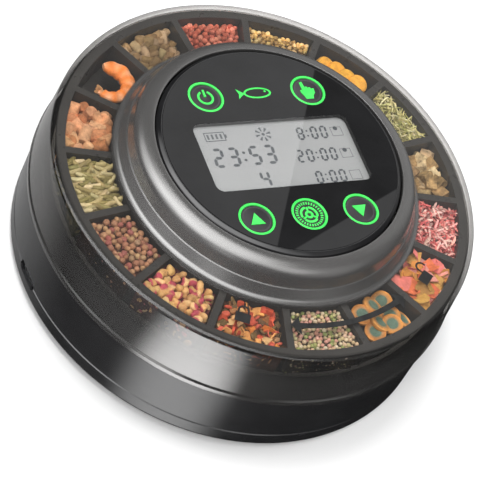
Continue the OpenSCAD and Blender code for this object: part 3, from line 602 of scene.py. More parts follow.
def display_signs():
    """A battery with four bars, a spark, and a tick box after each meal time, two of them marked."""
    shapes = hollow_box(-25.0, 6.5, -17.4, 10.3, 0.34) + [oblong(-17.4, 7.7, -16.8, 9.1)]
    shapes += [oblong(-24.1 + 1.6 * k, 7.4, -23.35 + 1.6 * k, 9.4) for k in range(4)]
    spark_x, spark_y = -3.2, 8.0
    for k in range(8):
        c, s = math.cos(TAU * k / 8 + 0.2), math.sin(TAU * k / 8 + 0.2)
        shapes.append([(spark_x + c * out - s * side, spark_y + s * out + c * side)
                       for out, side in ((1.2, 0.15), (1.2, -0.15), (2.9, -0.5), (2.9, 0.5))])
    shapes.append(circle(0.6, 14, spark_x, spark_y))
    for y in (7.3, -2.0, -11.2):
        shapes += hollow_box(22.6, y - 2.2, 26.8, y + 1.6, 0.16)
    return shapes + [circle(0.85, 18, 24.6, y) for y in (8.3, -1.0)]


def build_display():
    """The liquid crystal face below the window, with its figures and signs."""
    lo, hi = low("lcd_module"), high("lcd_module")
    face_z = hi.z + 0.02 * MM
    edge = oblong(lo.x / MM + 0.4, lo.y / MM + 0.4, hi.x / MM - 0.4, hi.y / MM - 0.4)
    plate("lcd_face", [edge], hi.z, face_z, lcd_material(), "base", bevel=0.01 * MM)
    figures = clock_figures() + display_signs()
    plate("lcd_figures", figures, face_z, face_z + 0.02 * MM, SEGMENT, "base")


# --- lid printing


def build_printing():
    """Lock signs and a double arrow printed on the lid."""
    r, start, end = CELL_MID / MM, -101.0, -64.5
    shapes = [arc_band(r - 1.0, r + 1.0, start, end, 40)]
    for angle, way in ((start, -1), (end, 1)):
        tip = polar(r, angle + way * math.degrees(3.4 / r))
        shapes += [[tip, polar(r + side * 3.6, angle), polar(r, angle)] for side in (-1, 1)]
    shapes += padlock(r, -119.0, False) + padlock(r, -49.5, True)
    plate("lid_printing", shapes, DECK, DECK + 0.03 * MM, PRINT, "lid")


def padlock(r, degrees, is_open):
    """A padlock sign with its top towards the centre of the lid."""
    shift, lift = (2.9, 0.5) if is_open else (0.0, 0.0)
    lock = [oblong(-2.6, -3.2, 2.6, 0.6)]
    lock.append([(x + shift, y + 1.5 + lift) for x, y in arc_band(1.35, 2.05, 0, 180, 18)])
    for x, bottom in ((shift - 1.7, 0.5), (shift + 1.7, 1.2 if is_open else 0.5)):
        lock.append(oblong(x - 0.35, bottom, x + 0.35, 1.6 + lift))
    c, s = polar(1.0, degrees)
    return [[((r - y) * c - x * s, (r - y) * s + x * c) for x, y in shape] for shape in lock]


# --- food shapes


class Lump:
    """A smooth pseudo-random bump field, the same on every run."""

    def __init__(self, rng, waves=9, low_f=1.5, high_f=5.0):
        self.k = rng.normal(size=(waves, 3))
        self.k *= (rng.uniform(low_f, high_f, size=waves) / np.linalg.norm(self.k, axis=1))[:, None]
        self.phase = rng.uniform(0, TAU, size=waves)

    def __call__(self, p):
        return np.sin(p @ self.k.T + self.phase).mean(axis=1)


def lumpy(rng, verts, amount, low_f, high_f):
    field = Lump(rng, 10, low_f, high_f)
    length = np.linalg.norm(verts, axis=1, keepdims=True)
    return verts * (1 + amount * field(verts / np.maximum(length, 1e-9) + 3)[:, None])


def arrays_of(bm):
    """The vertices and triangles of a mesh as arrays. The mesh is freed."""
    verts = np.array([v.co for v in bm.verts])
    faces = np.array([[v.index for v in f.verts] for f in bm.faces])
    bm.free()
    return verts, faces


def icosphere(level):
    bm = bmesh.new()
    bmesh.ops.create_icosphere(bm, subdivisions=level, radius=1.0)
    return arrays_of(bm)


def grid_box(n):
    """A cube of side 2 with n by n squares on each face, as triangles."""
    bm = bmesh.new()
    bmesh.ops.create_cube(bm, size=2.0)
    bmesh.ops.subdivide_edges(bm, edges=bm.edges, cuts=n - 1, use_grid_fill=True)
    bmesh.ops.triangulate(bm, faces=bm.faces)
    return arrays_of(bm)


def skin(first, rows, steps):
    """Triangles that join rows of vertices round a tube. first is the index of the first vertex."""
    faces = []
    for start in range(first, first + rows * steps, steps):
        for k in range(steps):
            a, b = start + k, start + (k + 1) % steps
            faces += [(a, b, b + steps), (a, b + steps, a + steps)]
    return faces


def tube(profile, steps):
    """A closed solid turned about Z from (r, z) points that start and end on the axis, as triangles."""
    verts = [(0.0, 0.0, profile[0][1])]
    for r, z in profile[1:-1]:
        verts += [(x, y, z) for x, y in circle(r, steps)]
    verts.append((0.0, 0.0, profile[-1][1]))
    faces = skin(1, len(profile) - 3, steps)
    last = len(verts) - 1
    for k in range(steps):
        m = (k + 1) % steps
        faces += [(0, 1 + m, 1 + k), (last, last - steps + k, last - steps + m)]
    return np.array(verts, float), np.array(faces)


def mirrored(side, waist, end):
    """A profile from its upper half's points (r, z), widest at the middle, with ends on the axis."""
    return [(0, -end)] + [(r, -z) for r, z in side] + [(waist, 0)] + side[::-1] + [(0, end)]


def pellet_profile(length, soft=0.18):
    side = [(0.62, length), (1 - soft, length - 0.02), (1.0, length - soft)]
    return mirrored(side, 1.03, length)


def strip(rng, length, width, thick, curl, steps=7):
    """A thin bent shred, as a closed four-sided tube."""
    a = rng.uniform(-curl, curl)
    b = rng.uniform(-curl, curl)
    verts = []
    for k in range(steps + 1):
        t = k / steps - 0.5
        taper = 1 - 0.45 * abs(2 * t) ** 3
        x, y, z = t * length, a * length * (t * t - 0.08), b * length * math.sin(2.2 * t)
        twist = rng.normal(0, 0.08) + t * 1.2
        c, s = math.cos(twist), math.sin(twist)
        for dy, dz in ((-1, -1), (1, -1), (1, 1), (-1, 1)):
            oy, oz = dy * width / 2 * taper, dz * thick / 2
            verts.append((x, y + oy * c - oz * s, z + oy * s + oz * c))
    end = steps * 4
    faces = skin(0, steps, 4) + [(0, 2, 1), (0, 3, 2), (end, end + 1, end + 2), (end, end + 2, end + 3)]
    return np.array(verts), np.array(faces)


def flake(rng, width, thick, curl, sides=9):
    """An irregular thin flake, cupped a little."""
    radii = width / 2 * (1 + 0.35 * rng.uniform(-1, 1, sides))
    under = np.zeros((1 + 2 * sides, 3))
    for k in range(sides):
        a = TAU * k / sides
        rim = np.array((radii[k] * math.cos(a), radii[k] * math.sin(a)))
        under[1 + k, :2] = rim / 2
        under[1 + sides + k, :2] = rim
    dx, dy = rng.uniform(-1, 1, 2)
    x, y = under[:, 0], under[:, 1]
    cup = (x * dx + y * dy) ** 2 / width
    under[:, 2] = curl * (cup + 0.3 * width * np.sin(x / width * 5 + dx * 3))
    n = len(under)
    faces = []
    for k in range(sides):
        a, b = 1 + k, 1 + (k + 1) % sides
        c, d = a + sides, b + sides
        faces += [(0, b, a), (a, b, d), (a, d, c), (c, d, n + d), (c, n + d, n + c)]
        faces += [(n, n + a, n + b), (n + a, n + d, n + b), (n + a, n + c, n + d)]
    return np.concatenate([under, under + np.array([0, 0, thick])]), np.array(faces)


def rotation(axis, angle):
    """A right-handed turn about axis 0 (X), 1 (Y) or 2 (Z)."""
    i, j = (axis + 1) % 3, (axis + 2) % 3
    out = np.eye(3)
    out[i, i] = out[j, j] = math.cos(angle)
    out[j, i] = math.sin(angle)
    out[i, j] = -out[j, i]
    return out


def random_turn(rng, flat=0.0):
    """A random rotation. flat 1 keeps the piece's Z axis upright."""
    z = rng.normal(size=3)
    z /= np.linalg.norm(z)
    z = z * (1 - flat) + np.array([0, 0, 1.0]) * flat
    z /= np.linalg.norm(z)
    x = np.cross(rng.normal(size=3), z)
    x /= np.linalg.norm(x)
    return np.stack([x, np.cross(z, x), z], axis=1)


# --- places in a food cell


def cell_half_width(r):
    return r * math.sin(math.pi / len(CELLS)) - DIVIDER / 2


def spots(rng, size, inset, count):
    """Places in a cell, (r, v) in metres, no two nearer than size."""
    out = []
    for _ in range(count * 60):
        if len(out) == count:
            break
        r = rng.uniform(CELL_RI + inset, CELL_RO - inset)
        h = cell_half_width(r) - inset
        v = rng.uniform(-h, h)
        if all((r - a) ** 2 + (v - b) ** 2 > size * size for a, b in out):
            out.append((r, v))
    return out


def pile(rng, size, top, inset, heap, layers=3, count=400):
    """Places of the pieces in the visible layers of a heap: (r, v, z, brightness), where the brightness is
    painted shade that darkens each lower layer.
    """
    places = []
    for layer in range(layers):
        for r, v in spots(rng, size * 0.86, inset, count):
            share = (r - CELL_RI) / (CELL_RO - CELL_RI)
            mound = heap * (1 - (2 * share - 1) ** 2) * (1 - (v / cell_half_width(r)) ** 2)
            z = top + mound - layer * size * 0.55 - rng.uniform(0, size * 0.3)
            # painted shade: each lower layer is darker, standing in for the shadow between the pieces
            places.append((r, v, z, 1.0 - 0.3 * layer))
    return places


def outer_wall(rng, size, top):
    """Places of pieces that lie against the outer wall, from the floor up: (r, v, z, brightness), where the
    brightness 1.3 is painted light for the light through the clear wall.
    """
    places = []
    r = CELL_RO - size * 0.5
    half = cell_half_width(r) - size * 0.6
    z = DRUM_BOTTOM + size * 0.5
    row = 0
    while z < top - size * 0.5:
        v = -half + (row % 2) * size * 0.45
        while v < half:
            # painted light: pieces against the clear wall are made 1.3 times brighter
            places.append((r - rng.uniform(0, size * 0.15), v + rng.uniform(-0.12, 0.12) * size, z, 1.3))
            v += size * 0.95
        z += size * 0.8
        row += 1
    return places


class Heap:
    """Collects the pieces of one food and turns them into one object in its cell."""

    def __init__(self, number, bed_top, bed_shade_colour, bed_lump=0.5):
        self.rng = np.random.default_rng(SEED + number)
        self.angle = cell_angle(CLOCKWISE[number])
        self.verts, self.faces, self.colours, self.count = [], [], [], 0
        self.bed(bed_top, bed_shade_colour, bed_lump)

    def add(self, piece, place, turn, colour):
        """Places one piece, (verts, faces) in metres about the origin, at place (r, v, z) in the cell."""
        verts, faces = piece
        p = verts @ turn.T + place[:3]
        half = cell_half_width(np.maximum(p[:, 0], CELL_RI)) - 0.05 * MM
        p[:, 0] = np.clip(p[:, 0], CELL_RI + 0.05 * MM, CELL_RO - 0.05 * MM)
        p[:, 1] = np.clip(p[:, 1], -half, half)
        p[:, 2] = np.clip(p[:, 2], DRUM_BOTTOM + 0.1 * MM, DRUM_TOP - 0.15 * MM)
        self.verts.append(p @ rotation(2, self.angle).T)
        self.faces.append(np.asarray(faces) + self.count)
        self.count += len(p)
        own = np.ones((len(p), 4))
        own[:, :3] = np.clip(colour, 0, 1)
        self.colours.append(own)

    def pick(self, palette, jitter=0.12):
        """One colour of the palette, a little brighter or darker and a little off its hue."""
        base = np.array(palette[self.rng.integers(len(palette))])
        bright = 1 + self.rng.uniform(-jitter, jitter)
        return np.clip(base * bright * (1 + self.rng.normal(0, 0.03, 3)), 0, 1)

    def bed(self, top, colour, lump):
        """A lumpy bed that fills the cell below the visible pieces; its dark colour is painted shade for the
        gaps between them.
        """
        n = 18
        field = Lump(self.rng, 12, 500, 1400)
        verts = []
        for z in (DRUM_BOTTOM + 0.15 * MM, top):
            for i in range(n + 1):
                r = CELL_RI + 0.1 * MM + (CELL_RO - CELL_RI - 0.2 * MM) * i / n
                half = cell_half_width(r) - 0.1 * MM
                verts += [(r, -half + 2 * half * j / n, z) for j in range(n + 1)]
        verts = np.array(verts)
        row = n + 1
        size = row ** 2
        verts[size:, 2] += field(verts[size:]) * lump * MM
        faces = []
        for a in (i * row + j for i in range(n) for j in range(n)):
            b, c, d = a + 1, a + row + 1, a + row
            faces += [(a, b, c), (a, c, d), (size + a, size + c, size + b), (size + a, size + d, size + c)]
        rim = ([j for j in range(n)] + [i * row + n for i in range(n)]
               + [n * row + j for j in range(n, 0, -1)] + [i * row for i in range(n, 0, -1)])
        for a, b in zip(rim, rim[1:] + rim[:1]):
            faces += [(a, size + a, size + b), (a, size + b, b)]
        self.add((verts, faces), (0, 0, 0), np.eye(3), colour)

    def build(self, name, material):
        make_object(name, np.concatenate(self.verts), np.concatenate(self.faces), material, "drum",
                    np.concatenate(self.colours), sharp=50)


# --- the sixteen foods


def food_of_grains(number, name, palette, size, shape, amount, lift, bed, flat=0.0, rough=0.6, grain=0.5,
                   inset=None, heap=0.0, gloss=0.35, blotches=0.25, stretch=(1, 1, 1), second=None):
    """Food made of many like pieces, with lengths in mm. size is a piece's width, lift raises the food,
    heap mounds it in the middle, and second is the colour of one side of each piece."""
    width, top = size * MM, FOOD_TOP + lift * MM
    # painted shade: the bed under the pieces is the food's colour darkened to 0.35
    h = Heap(number, top - width * 0.9, np.array(bed) * 0.35)
    places = pile(h.rng, width, top - width * 0.5, (inset or size * 0.5) * MM, heap * MM)
    places += outer_wall(h.rng, width, top - width)
    unit, faces = shape
    for place in places:
        verts = lumpy(h.rng, unit, amount, 1.5, 4.5) * np.array(stretch)
        verts = verts * h.rng.uniform(0.85, 1.15) * width / 2
        # painted shade and painted light: the place's brightness darkens the lower layers and brightens the
        # pieces against the wall
        colour = h.pick(palette) * place[3]
        if second:
            way = h.rng.normal(size=3)
            part = np.clip((unit @ (way / np.linalg.norm(way)) - 0.35) * 6, 0, 1)[:, None]
            colour = colour * (1 - part) + np.array(second) * place[3] * part
        h.add((verts, faces), place, random_turn(h.rng, flat), colour)
    h.build(name, food_material("food_" + name, rough, grain, blotches=blotches, gloss=gloss))


def food_of_flakes(number):
    """Big pink and orange flakes."""
    palette = [(0.62, 0.17, 0.15), (0.56, 0.24, 0.05), (0.48, 0.27, 0.07), (0.68, 0.29, 0.25),
               (0.58, 0.15, 0.06)]
    h = Heap(number, FOOD_TOP - 3.5 * MM, (0.2, 0.07, 0.04))
    for level in range(3):
        for r, v in spots(h.rng, 3.36 * MM, 2.6 * MM, 26):
            piece = flake(h.rng, 8.0 * MM * h.rng.uniform(0.6, 1.0), 0.35 * MM, 0.6)
            z = FOOD_TOP - (1.0 + 1.2 * level) * MM - h.rng.uniform(0, 0.8) * MM
            h.add(piece, (r, v, z), random_turn(h.rng, 0.72), h.pick(palette, 0.18))
    h.build("flakes_pink_orange", food_material("food_flakes_pink_orange", 0.5, 0.35, gloss=0.4))


def food_of_rings(number):
    """Orange slices with a green-blue middle."""
    h = Heap(number, FOOD_TOP - 6.0 * MM, (0.03, 0.03, 0.03), 0.1)
    profile = [(0, -0.28), (0.9, -0.28), (0.98, -0.2), (1.0, 0.0), (0.98, 0.2), (0.9, 0.26), (0.56, 0.27),
               (0.5, 0.24), (0.25, 0.24), (0, 0.24)]
    unit, faces = tube(profile, 28)
    r = np.linalg.norm(unit[:, :2], axis=1)[:, None]
    on_top = unit[:, 2:] > 0.1
    core = np.clip((0.62 - r) / 0.1, 0, 1) * on_top
    edge = np.clip((r - 0.9) / 0.1, 0, 1) * on_top * 0.5
    places = [
        (-4.6, 5.2, -2.4, 0.5), (-4.2, 0.2, -1.6, -0.3), (-3.4, -5.4, -1.9, 0.2), (1.5, 3.2, -1.2, 0.35),
        (2.4, -2.6, -0.9, -0.3), (4.2, -6.2, -1.6, 0.2), (4.9, 1.0, -0.8, 0.3), (4.6, 6.6, -2.2, -0.4),
    ]
    for dr, dv, dz, tilt in places:
        verts = lumpy(h.rng, unit, 0.1, 1.5, 3.0) * np.array([3.9, 3.5, 3.0]) * MM
        orange = h.pick([(0.66, 0.28, 0.06), (0.6, 0.23, 0.05)], 0.08)
        colour = orange * (1 - core) + np.array((0.09, 0.15, 0.115)) * core
        colour = colour * (1 - edge) + np.array((0.72, 0.42, 0.16)) * edge
        h.add((verts, faces), (CELL_MID + dr * MM, dv * MM, FOOD_TOP + dz * MM), rotation(0, tilt), colour)
    h.build("slices_orange", food_material("food_slices", 0.55, 0.5))


def food_of_mix(number):
    """Dried pieces of many shapes: flakes, cubes, discs and curls."""
    palette = [(0.6, 0.2, 0.04), (0.5, 0.08, 0.04), (0.3, 0.13, 0.05), (0.1, 0.06, 0.03), (0.66, 0.32, 0.1),
               (0.5, 0.1, 0.06), (0.16, 0.1, 0.04), (0.72, 0.45, 0.22)]
    h = Heap(number, FOOD_TOP - 3.2 * MM, (0.08, 0.035, 0.02))
    cube, cube_faces = grid_box(3)
    disc, disc_faces = tube([(0, -0.3), (0.85, -0.3), (1, -0.1), (1, 0.1), (0.85, 0.3), (0, 0.3)], 14)
    for level in range(3):
        for r, v in spots(h.rng, 1.9 * MM, 1.5 * MM, 140):
            z = FOOD_TOP - (0.7 + 1.2 * level) * MM - h.rng.uniform(0, 0.9) * MM
            kind = h.rng.choice([0, 0, 1, 1, 1, 2, 2, 3])
            if kind == 0:
                piece = flake(h.rng, 3.6 * MM, 0.5 * MM, 0.9)
            elif kind == 1:
                piece = lumpy(h.rng, cube, 0.4, 1.5, 4) * np.array([1.25, 1.0, 0.8]) * MM, cube_faces
            elif kind == 2:
                piece = lumpy(h.rng, disc, 0.3, 1.5, 3) * 1.4 * MM, disc_faces
            else:
                piece = strip(h.rng, 3.6 * MM, 1.4 * MM, 0.6 * MM, 0.9)
            # painted shade: each lower layer is darker
            h.add(piece, (r, v, z), random_turn(h.rng, 0.35), h.pick(palette, 0.25) * (1 - 0.25 * level))
    for place in outer_wall(h.rng, 2.6 * MM, FOOD_TOP - 1.5 * MM):
        piece = lumpy(h.rng, cube, 0.3, 1.5, 4) * 1.2 * MM, cube_faces
        h.add(piece, place, random_turn(h.rng), h.pick(palette, 0.2))
    h.build("dried_mix", food_material("food_mix", 0.5, 0.7, gloss=0.45))


def food_of_sticks(number):
    """Short bent olive sticks lying in layers."""
    palette = [(0.31, 0.26, 0.11), (0.42, 0.36, 0.18), (0.2, 0.165, 0.06), (0.52, 0.45, 0.25)]
    h = Heap(number, FOOD_TOP - 2.4 * MM, (0.08, 0.08, 0.03))
    unit, faces = tube(mirrored([(0.6, 0.97), (0.95, 0.85), (1, 0.5)], 1.02, 1), 9)
    lie = rotation(1, math.pi / 2)
    for level in range(3):
        for r, v in spots(h.rng, 1.75 * MM, 1.4 * MM, 130):
            length, width = h.rng.uniform(1.9, 3.1) * MM, 0.78 * MM
            p = lumpy(h.rng, unit, 0.3, 1.5, 4) * np.array([width, width, length])
            p[:, 0] += h.rng.uniform(-110, 110) * p[:, 2] ** 2
            spin = rotation(2, h.rng.normal(0.0, 0.5))
            rock = rotation(1, h.rng.normal(0, 0.16))
            z = FOOD_TOP - (0.6 + 0.9 * level) * MM - h.rng.uniform(0, 0.6) * MM
            # painted shade: each lower layer is darker
            h.add((p, faces), (r, v, z), spin @ rock @ lie, h.pick(palette, 0.15) * (1 - 0.32 * level))
    for place in outer_wall(h.rng, 2.0 * MM, FOOD_TOP - 1.0 * MM):
        p = lumpy(h.rng, unit, 0.12, 1.5, 4) * np.array([0.8, 0.8, 2.4]) * MM
        h.add((p, faces), place, random_turn(h.rng, 0.3), h.pick(palette, 0.15))
    h.build("sticks_olive", food_material("food_sticks", 0.45, 0.35, gloss=0.5))


def shrimp_body(rows=46, steps=16):
    """A curled, ringed body in its own X-Z plane: vertices in mm, faces and striped colours."""
    verts, colours = [], []
    for i in range(rows + 1):
        t = i / rows
        a = math.radians(-35 + 235 * t)
        curl = 5.6 - 1.2 * t
        width = 2.2 * math.sin(min(1, t * 4 + 0.25) * math.pi / 2) * (1 - 0.55 * t) + 0.35
        width *= 0.9 + 0.18 * abs(math.sin(t * math.pi * 7))
        if t > 0.94:
            width *= 0.6
        for k in range(steps):
            b = TAU * k / steps
            out = curl + width * math.cos(b)
            verts.append((out * math.cos(a), width * 0.85 * math.sin(b), out * math.sin(a)))
            pale = 0.75 * (0.5 + 0.5 * math.cos(t * math.pi * 14)) * (0.5 + 0.5 * math.cos(b))
            colours.append(np.array((0.84, 0.24, 0.04)) * (1 - pale) + np.array((0.95, 0.6, 0.38)) * pale)
    n = len(verts)
    verts += [tuple(np.mean(verts[:steps], axis=0)), tuple(np.mean(verts[-steps:], axis=0))]
    colours += [np.array((0.8, 0.4, 0.2))] * 2
    faces = skin(0, rows, steps)
    for k in range(steps):
        m = (k + 1) % steps
        faces += [(n, m, k), (n + 1, rows * steps + k, rows * steps + m)]
    return np.array(verts), faces, np.array(colours)


def food_of_shrimp(number):
    """One dried shrimp, curled, with ringed shell and a tail fan."""
    h = Heap(number, DRUM_BOTTOM + 2.2 * MM, (0.02, 0.02, 0.02), 0.05)
    verts, faces, colours = shrimp_body()
    verts = verts * np.array([1.3, 1.1, 1.3]) * MM
    verts = verts + (Lump(h.rng, 10, 300, 900)(verts) * 0.25 * MM)[:, None]
    place = (CELL_MID, 0.3 * MM, FOOD_TOP - 2.6 * MM)
    turn = rotation(2, math.radians(-80)) @ rotation(0, math.pi / 2)
    h.add((verts, faces), place, turn, colours)
    tail_x, tail_z = polar(5.2, 200)
    for k in range(-2, 3):
        fin, faces = strip(h.rng, 3.6 * MM, 1.1 * MM, 0.3 * MM, 0.2)
        fan = rotation(1, -math.radians(290 + 14 * k))
        fin = fin @ fan.T + np.array([tail_x, 0.5 * k, tail_z]) * MM
        h.add((fin, faces), place, turn, (0.85, 0.45, 0.2))
    h.build("shrimp_dried", food_material("food_shrimp", 0.42, 0.35, grain_scale=1200, gloss=0.5))


def food_of_tablets(number):
    """Four thick yellow tablets leaning on each other."""
    h = Heap(number, DRUM_BOTTOM + 3.0 * MM, (0.03, 0.03, 0.03), 0.1)
    unit, faces = tube(mirrored([(0.7, 0.62), (0.9, 0.54), (1.0, 0.36)], 1.03, 0.62), 30)
    for k in range(4):
        verts = lumpy(h.rng, unit, 0.05, 2, 5) * np.array([4.1, 3.6, 2.6]) * MM
        colour = h.pick([(0.8, 0.42, 0.05), (0.74, 0.38, 0.04)], 0.06)
        r = CELL_MID + (2.0 + h.rng.uniform(-0.5, 0.5)) * MM
        place = (r, (-6.6 + 4.4 * k) * MM, FOOD_TOP - (2.2 + 0.5 * (k % 2)) * MM)
        h.add((verts, faces), place, rotation(0, math.radians(12 + 4 * k)), colour)
    h.build("tablets_yellow", food_material("food_tablets", 0.6, 0.9, grain_scale=1500))


def food_of_shreds(number, name, palette, length, width, thick, count, lift, bed):
    """A loose tangle of thin bent shreds, with lengths in mm. lift raises the food."""
    top = FOOD_TOP + lift * MM
    h = Heap(number, top - 2.2 * MM, bed)
    for _ in range(count):
        r = h.rng.uniform(CELL_RI + 1.0 * MM, CELL_RO - 1.0 * MM)
        half = cell_half_width(r) - 0.8 * MM
        v = h.rng.uniform(-half, half)
        depth = h.rng.uniform(0, 2.6) * MM
        piece = strip(h.rng, length * MM * h.rng.uniform(0.45, 1.0), width * MM * h.rng.uniform(0.7, 1.3),
                      thick * MM, 0.5)
        turn = rotation(2, h.rng.uniform(0, TAU))
        turn = turn @ rotation(1, h.rng.normal(0, 0.22))
        # painted shade: deeper shreds are darker
        h.add(piece, (r, v, top - depth), turn, h.pick(palette, 0.15) * (1 - depth / MM * 0.22))
    for place in outer_wall(h.rng, 2.0 * MM, top - 1.0 * MM):
        piece = strip(h.rng, length * 0.7 * MM, width * MM, thick * MM, 0.5)
        h.add(piece, place, random_turn(h.rng, 0.5), h.pick(palette, 0.15))
    h.build(name, food_material("food_" + name, 0.55, 0.3))


def build_food():
    ball = icosphere(2)
    food_of_flakes(0)
    food_of_rings(1)
    food_of_grains(
        2, "beads_pale",
        [(0.5, 0.42, 0.24), (0.6, 0.44, 0.3), (0.3, 0.34, 0.13), (0.6, 0.33, 0.26), (0.66, 0.55, 0.4)],
        1.45, ball, 0.12, -0.2, (0.1, 0.08, 0.05), rough=0.5)
    food_of_mix(3)
    food_of_grains(
        4, "puffs_pink_sided", [(0.62, 0.38, 0.16), (0.68, 0.45, 0.22), (0.55, 0.32, 0.13)],
        2.7, icosphere(3), 0.85, 0.2, (0.2, 0.05, 0.05), stretch=(1.3, 1.0, 1.0),
        second=(0.4, 0.07, 0.1), grain=0.8)
    food_of_grains(
        5, "pellets_red_brown",
        [(0.33, 0.16, 0.1), (0.38, 0.21, 0.12), (0.33, 0.12, 0.1), (0.42, 0.27, 0.15)],
        2.1, ball, 0.4, 0.1, (0.1, 0.04, 0.03), grain=0.7)
    food_of_sticks(6)
    food_of_grains(
        7, "cylinders_peach",
        [(0.5, 0.23, 0.11), (0.56, 0.29, 0.15), (0.4, 0.17, 0.075), (0.62, 0.35, 0.2)],
        3.9, tube(pellet_profile(1.35, 0.08), 14), 0.06, -0.1, (0.12, 0.045, 0.02),
        inset=1.7, grain=1.0, blotches=0.5)
    food_of_shrimp(8)
    food_of_grains(
        9, "cylinders_tan",
        [(0.24, 0.155, 0.075), (0.31, 0.215, 0.12), (0.17, 0.11, 0.05), (0.38, 0.27, 0.16)],
        3.0, tube(pellet_profile(1.6), 12), 0.1, -2.2, (0.12, 0.08, 0.05), inset=1.8, heap=2.0)
    food_of_grains(
        10, "granules_brick_red",
        [(0.42, 0.11, 0.07), (0.5, 0.15, 0.1), (0.33, 0.08, 0.05), (0.56, 0.21, 0.14)],
        2.0, ball, 0.4, -1.7, (0.2, 0.04, 0.02), heap=1.6)
    food_of_grains(
        11, "seeds_golden",
        [(0.34, 0.21, 0.06), (0.5, 0.33, 0.11), (0.22, 0.13, 0.04), (0.62, 0.45, 0.2)],
        1.7, ball, 0.08, -1.8, (0.1, 0.06, 0.02), rough=0.3, gloss=0.6, stretch=(1.1, 1.0, 0.85))
    food_of_tablets(12)
    food_of_shreds(
        13, "shreds_pale_green",
        [(0.72, 0.67, 0.34), (0.6, 0.57, 0.24), (0.82, 0.78, 0.5), (0.42, 0.4, 0.14)],
        5.0, 0.42, 0.22, 520, -0.8, (0.16, 0.15, 0.05))
    food_of_grains(
        14, "cubes_freeze_dried",
        [(0.36, 0.25, 0.11), (0.46, 0.34, 0.17), (0.27, 0.18, 0.08), (0.56, 0.44, 0.25)],
        4.4, grid_box(4), 0.12, -0.8, (0.1, 0.08, 0.05), inset=2.4, flat=0.3, grain=1.0,
        blotches=0.75, heap=1.0)
    food_of_shreds(
        15, "shreds_pink",
        [(0.76, 0.24, 0.22), (0.86, 0.42, 0.38), (0.6, 0.13, 0.13), (0.9, 0.6, 0.54)],
        4.6, 0.7, 0.35, 460, -0.3, (0.22, 0.03, 0.03))


# --- camera

# the camera's turn about Z, height above the horizon and roll
AZIMUTH, ELEVATION, ROLL = (math.radians(a) for a in (-43.56, 47.92, 29.49))
DISTANCE = 0.7692
LENS_SHIFT = (-0.00595, -0.0255)
AIM_HEIGHT = LID_BOTTOM + 23.29 * MM
FOCAL = 164.45


def camera_axes():
    az, el = AZIMUTH, ELEVATION
    back = Vector((math.sin(az) * math.cos(el), -math.cos(az) * math.cos(el), math.sin(el)))
    side = Vector((0, 0, 1)).cross(back).normalized()
    up = back.cross(side)
    return side * math.cos(ROLL) + up * math.sin(ROLL), up * math.cos(ROLL) - side * math.sin(ROLL), back


def camera_place():
    right, above, back = camera_axes()
    return Vector((0, 0, AIM_HEIGHT)) + back * DISTANCE + right * LENS_SHIFT[0] + above * LENS_SHIFT[1]


def build_camera():
    data = bpy.data.cameras.new("camera")
    data.lens = FOCAL
    data.sensor_width = 36
    data.clip_start = 0.01
    camera = bpy.data.objects.new("camera", data)
    rows = zip(*camera_axes(), camera_place())
    camera.matrix_world = Matrix((*rows, (0, 0, 0, 1)))
    bpy.context.scene.collection.objects.link(camera)
    bpy.context.scene.camera = camera
    bpy.context.scene.view_settings.view_transform = "Standard"


# --- stage and light

# how bright the white surroundings are for all but the camera's own rays
AMBIENT = 0.55
# soft boxes seen in reflections: azimuth, elevation, inner and outer half angle, strength
BOXES = (
    (202, 60, 14, 48, 5.0), (178, 34, 8, 34, 1.7), (205, -4, 5, 38, 0.35), (147, 27, 7, 26, 3.2),
    (238, -48, 3, 22, 4.0), (225, -30, 5, 60, 0.12), (98, -46, 6, 44, 0.5), (30, 20, 10, 40, 0.5),
    (300, 24, 4, 34, 0.6), (276, 38, 3, 20, 2.2), (226, 10, 3, 14, 1.2),
)
# area lamps: name, place, size, power
LAMPS = (
    ("top_light", (-0.15, 0.25, 1.1), 0.5, 14), ("front_light", (-0.6, -0.6, 0.9), 0.6, 9),
    ("side_light", (0.7, -0.2, 0.9), 0.6, 6),
)
LAMP_TARGET = (0, 0, 0.03)


def build_stage():
    s = 4.0
    mesh = bpy.data.meshes.new("floor")
    mesh.from_pydata([(-s, -s, 0), (s, -s, 0), (s, s, 0), (-s, s, 0)], [], [(0, 1, 2, 3)])
    mesh.materials.append(floor_material())
    floor = bpy.data.objects.new("floor", mesh)
    bpy.context.scene.collection.objects.link(floor)
    floor.visible_glossy = False


def build_lamp(name, place, size, power):
    """A square area lamp that no mirror-like ray and no camera ray sees."""
    data = bpy.data.lights.new(name, "AREA")
    data.shape = "RECTANGLE"
    data.size = data.size_y = size
    data.energy = power
    lamp = bpy.data.objects.new(name, data)
    lamp.location = place
    lamp.rotation_euler = (Vector(LAMP_TARGET) - Vector(place)).to_track_quat("-Z", "Y").to_euler()
    lamp.visible_glossy = False
    lamp.visible_camera = False
    bpy.context.scene.collection.objects.link(lamp)


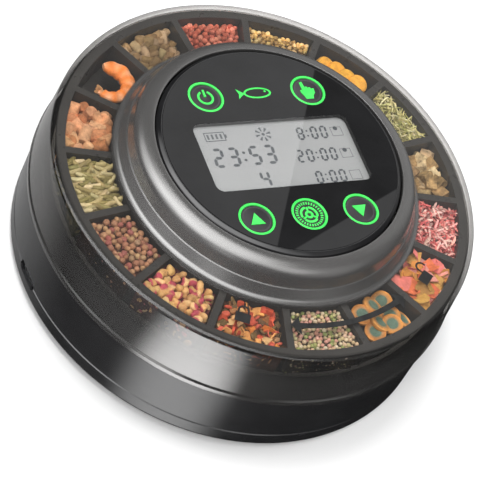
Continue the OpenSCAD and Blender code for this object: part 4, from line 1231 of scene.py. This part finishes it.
def mirror_direction(x, y):
    """What the camera sees in a point of the front panel, in mm from its middle."""
    seen = Vector((x * MM, y * MM, PANEL_Z)) - camera_place()
    seen.z = -seen.z
    return seen.normalized()


def build_lights():
    """White surroundings, and for mirror-like rays a dark studio with soft boxes."""
    n = Nodes("studio", world=True)
    direction = n.add("TexCoord").outputs["Generated"]

    def lobe(toward, edge, middle_from, strength):
        """Light from one side: none up to the cosine edge, and all of it from the cosine middle_from."""
        dot = n.add("VectorMath", {0: direction, 1: tuple(toward)}, operation="DOT_PRODUCT").outputs["Value"]
        return n.ramp(dot, 0.0, strength, edge, middle_from, "SMOOTHSTEP")

    reflected = 0.012
    for azimuth, elevation, inner, outer, strength in BOXES:
        flat, up = polar(1.0, elevation)
        x, y = polar(flat, azimuth)
        box = lobe((x, y, up), polar(1.0, outer)[0], polar(1.0, inner)[0], strength)
        reflected = n.plus(box, reflected)
    # a window over the panel's reflection, cut by one edge down its middle and one along its foot
    top, foot = mirror_direction(25.2, 31.8), mirror_direction(-16.3, -38.0)
    left, right = mirror_direction(-7.0, -38.5), mirror_direction(26.0, -24.5)
    edges = [lobe(a.cross(b).normalized(), -0.0004, 0.0004, 1.0) for a, b in ((foot, top), (right, left))]
    near = lobe(mirror_direction(0, 0), polar(1.0, 3.7)[0], polar(1.0, 3.4)[0], 2.0)
    reflected = n.plus(n.times(n.math("MAXIMUM", *edges), near), reflected)
    path = n.add("LightPath").outputs
    soft = n.ramp(path["Is Camera Ray"], AMBIENT, 1.0, 0.0, 1.0)
    white, studio = (n.add("Background", {"Color": rgba(1.0), "Strength": s}) for s in (soft, reflected))
    bpy.context.scene.world = n.surface(n.mix(path["Is Glossy Ray"], white, studio))
    for lamp in LAMPS:
        build_lamp(*lamp)


# --- build

dress_cad_nodes()
build_lid()
build_bezel()
build_keys()
build_icons()
build_panel_mark()
build_display()
build_printing()
build_food()
build_stage()
build_lights()
build_camera()


def plain(box):
    return [[float(v) for v in corner] for corner in box]
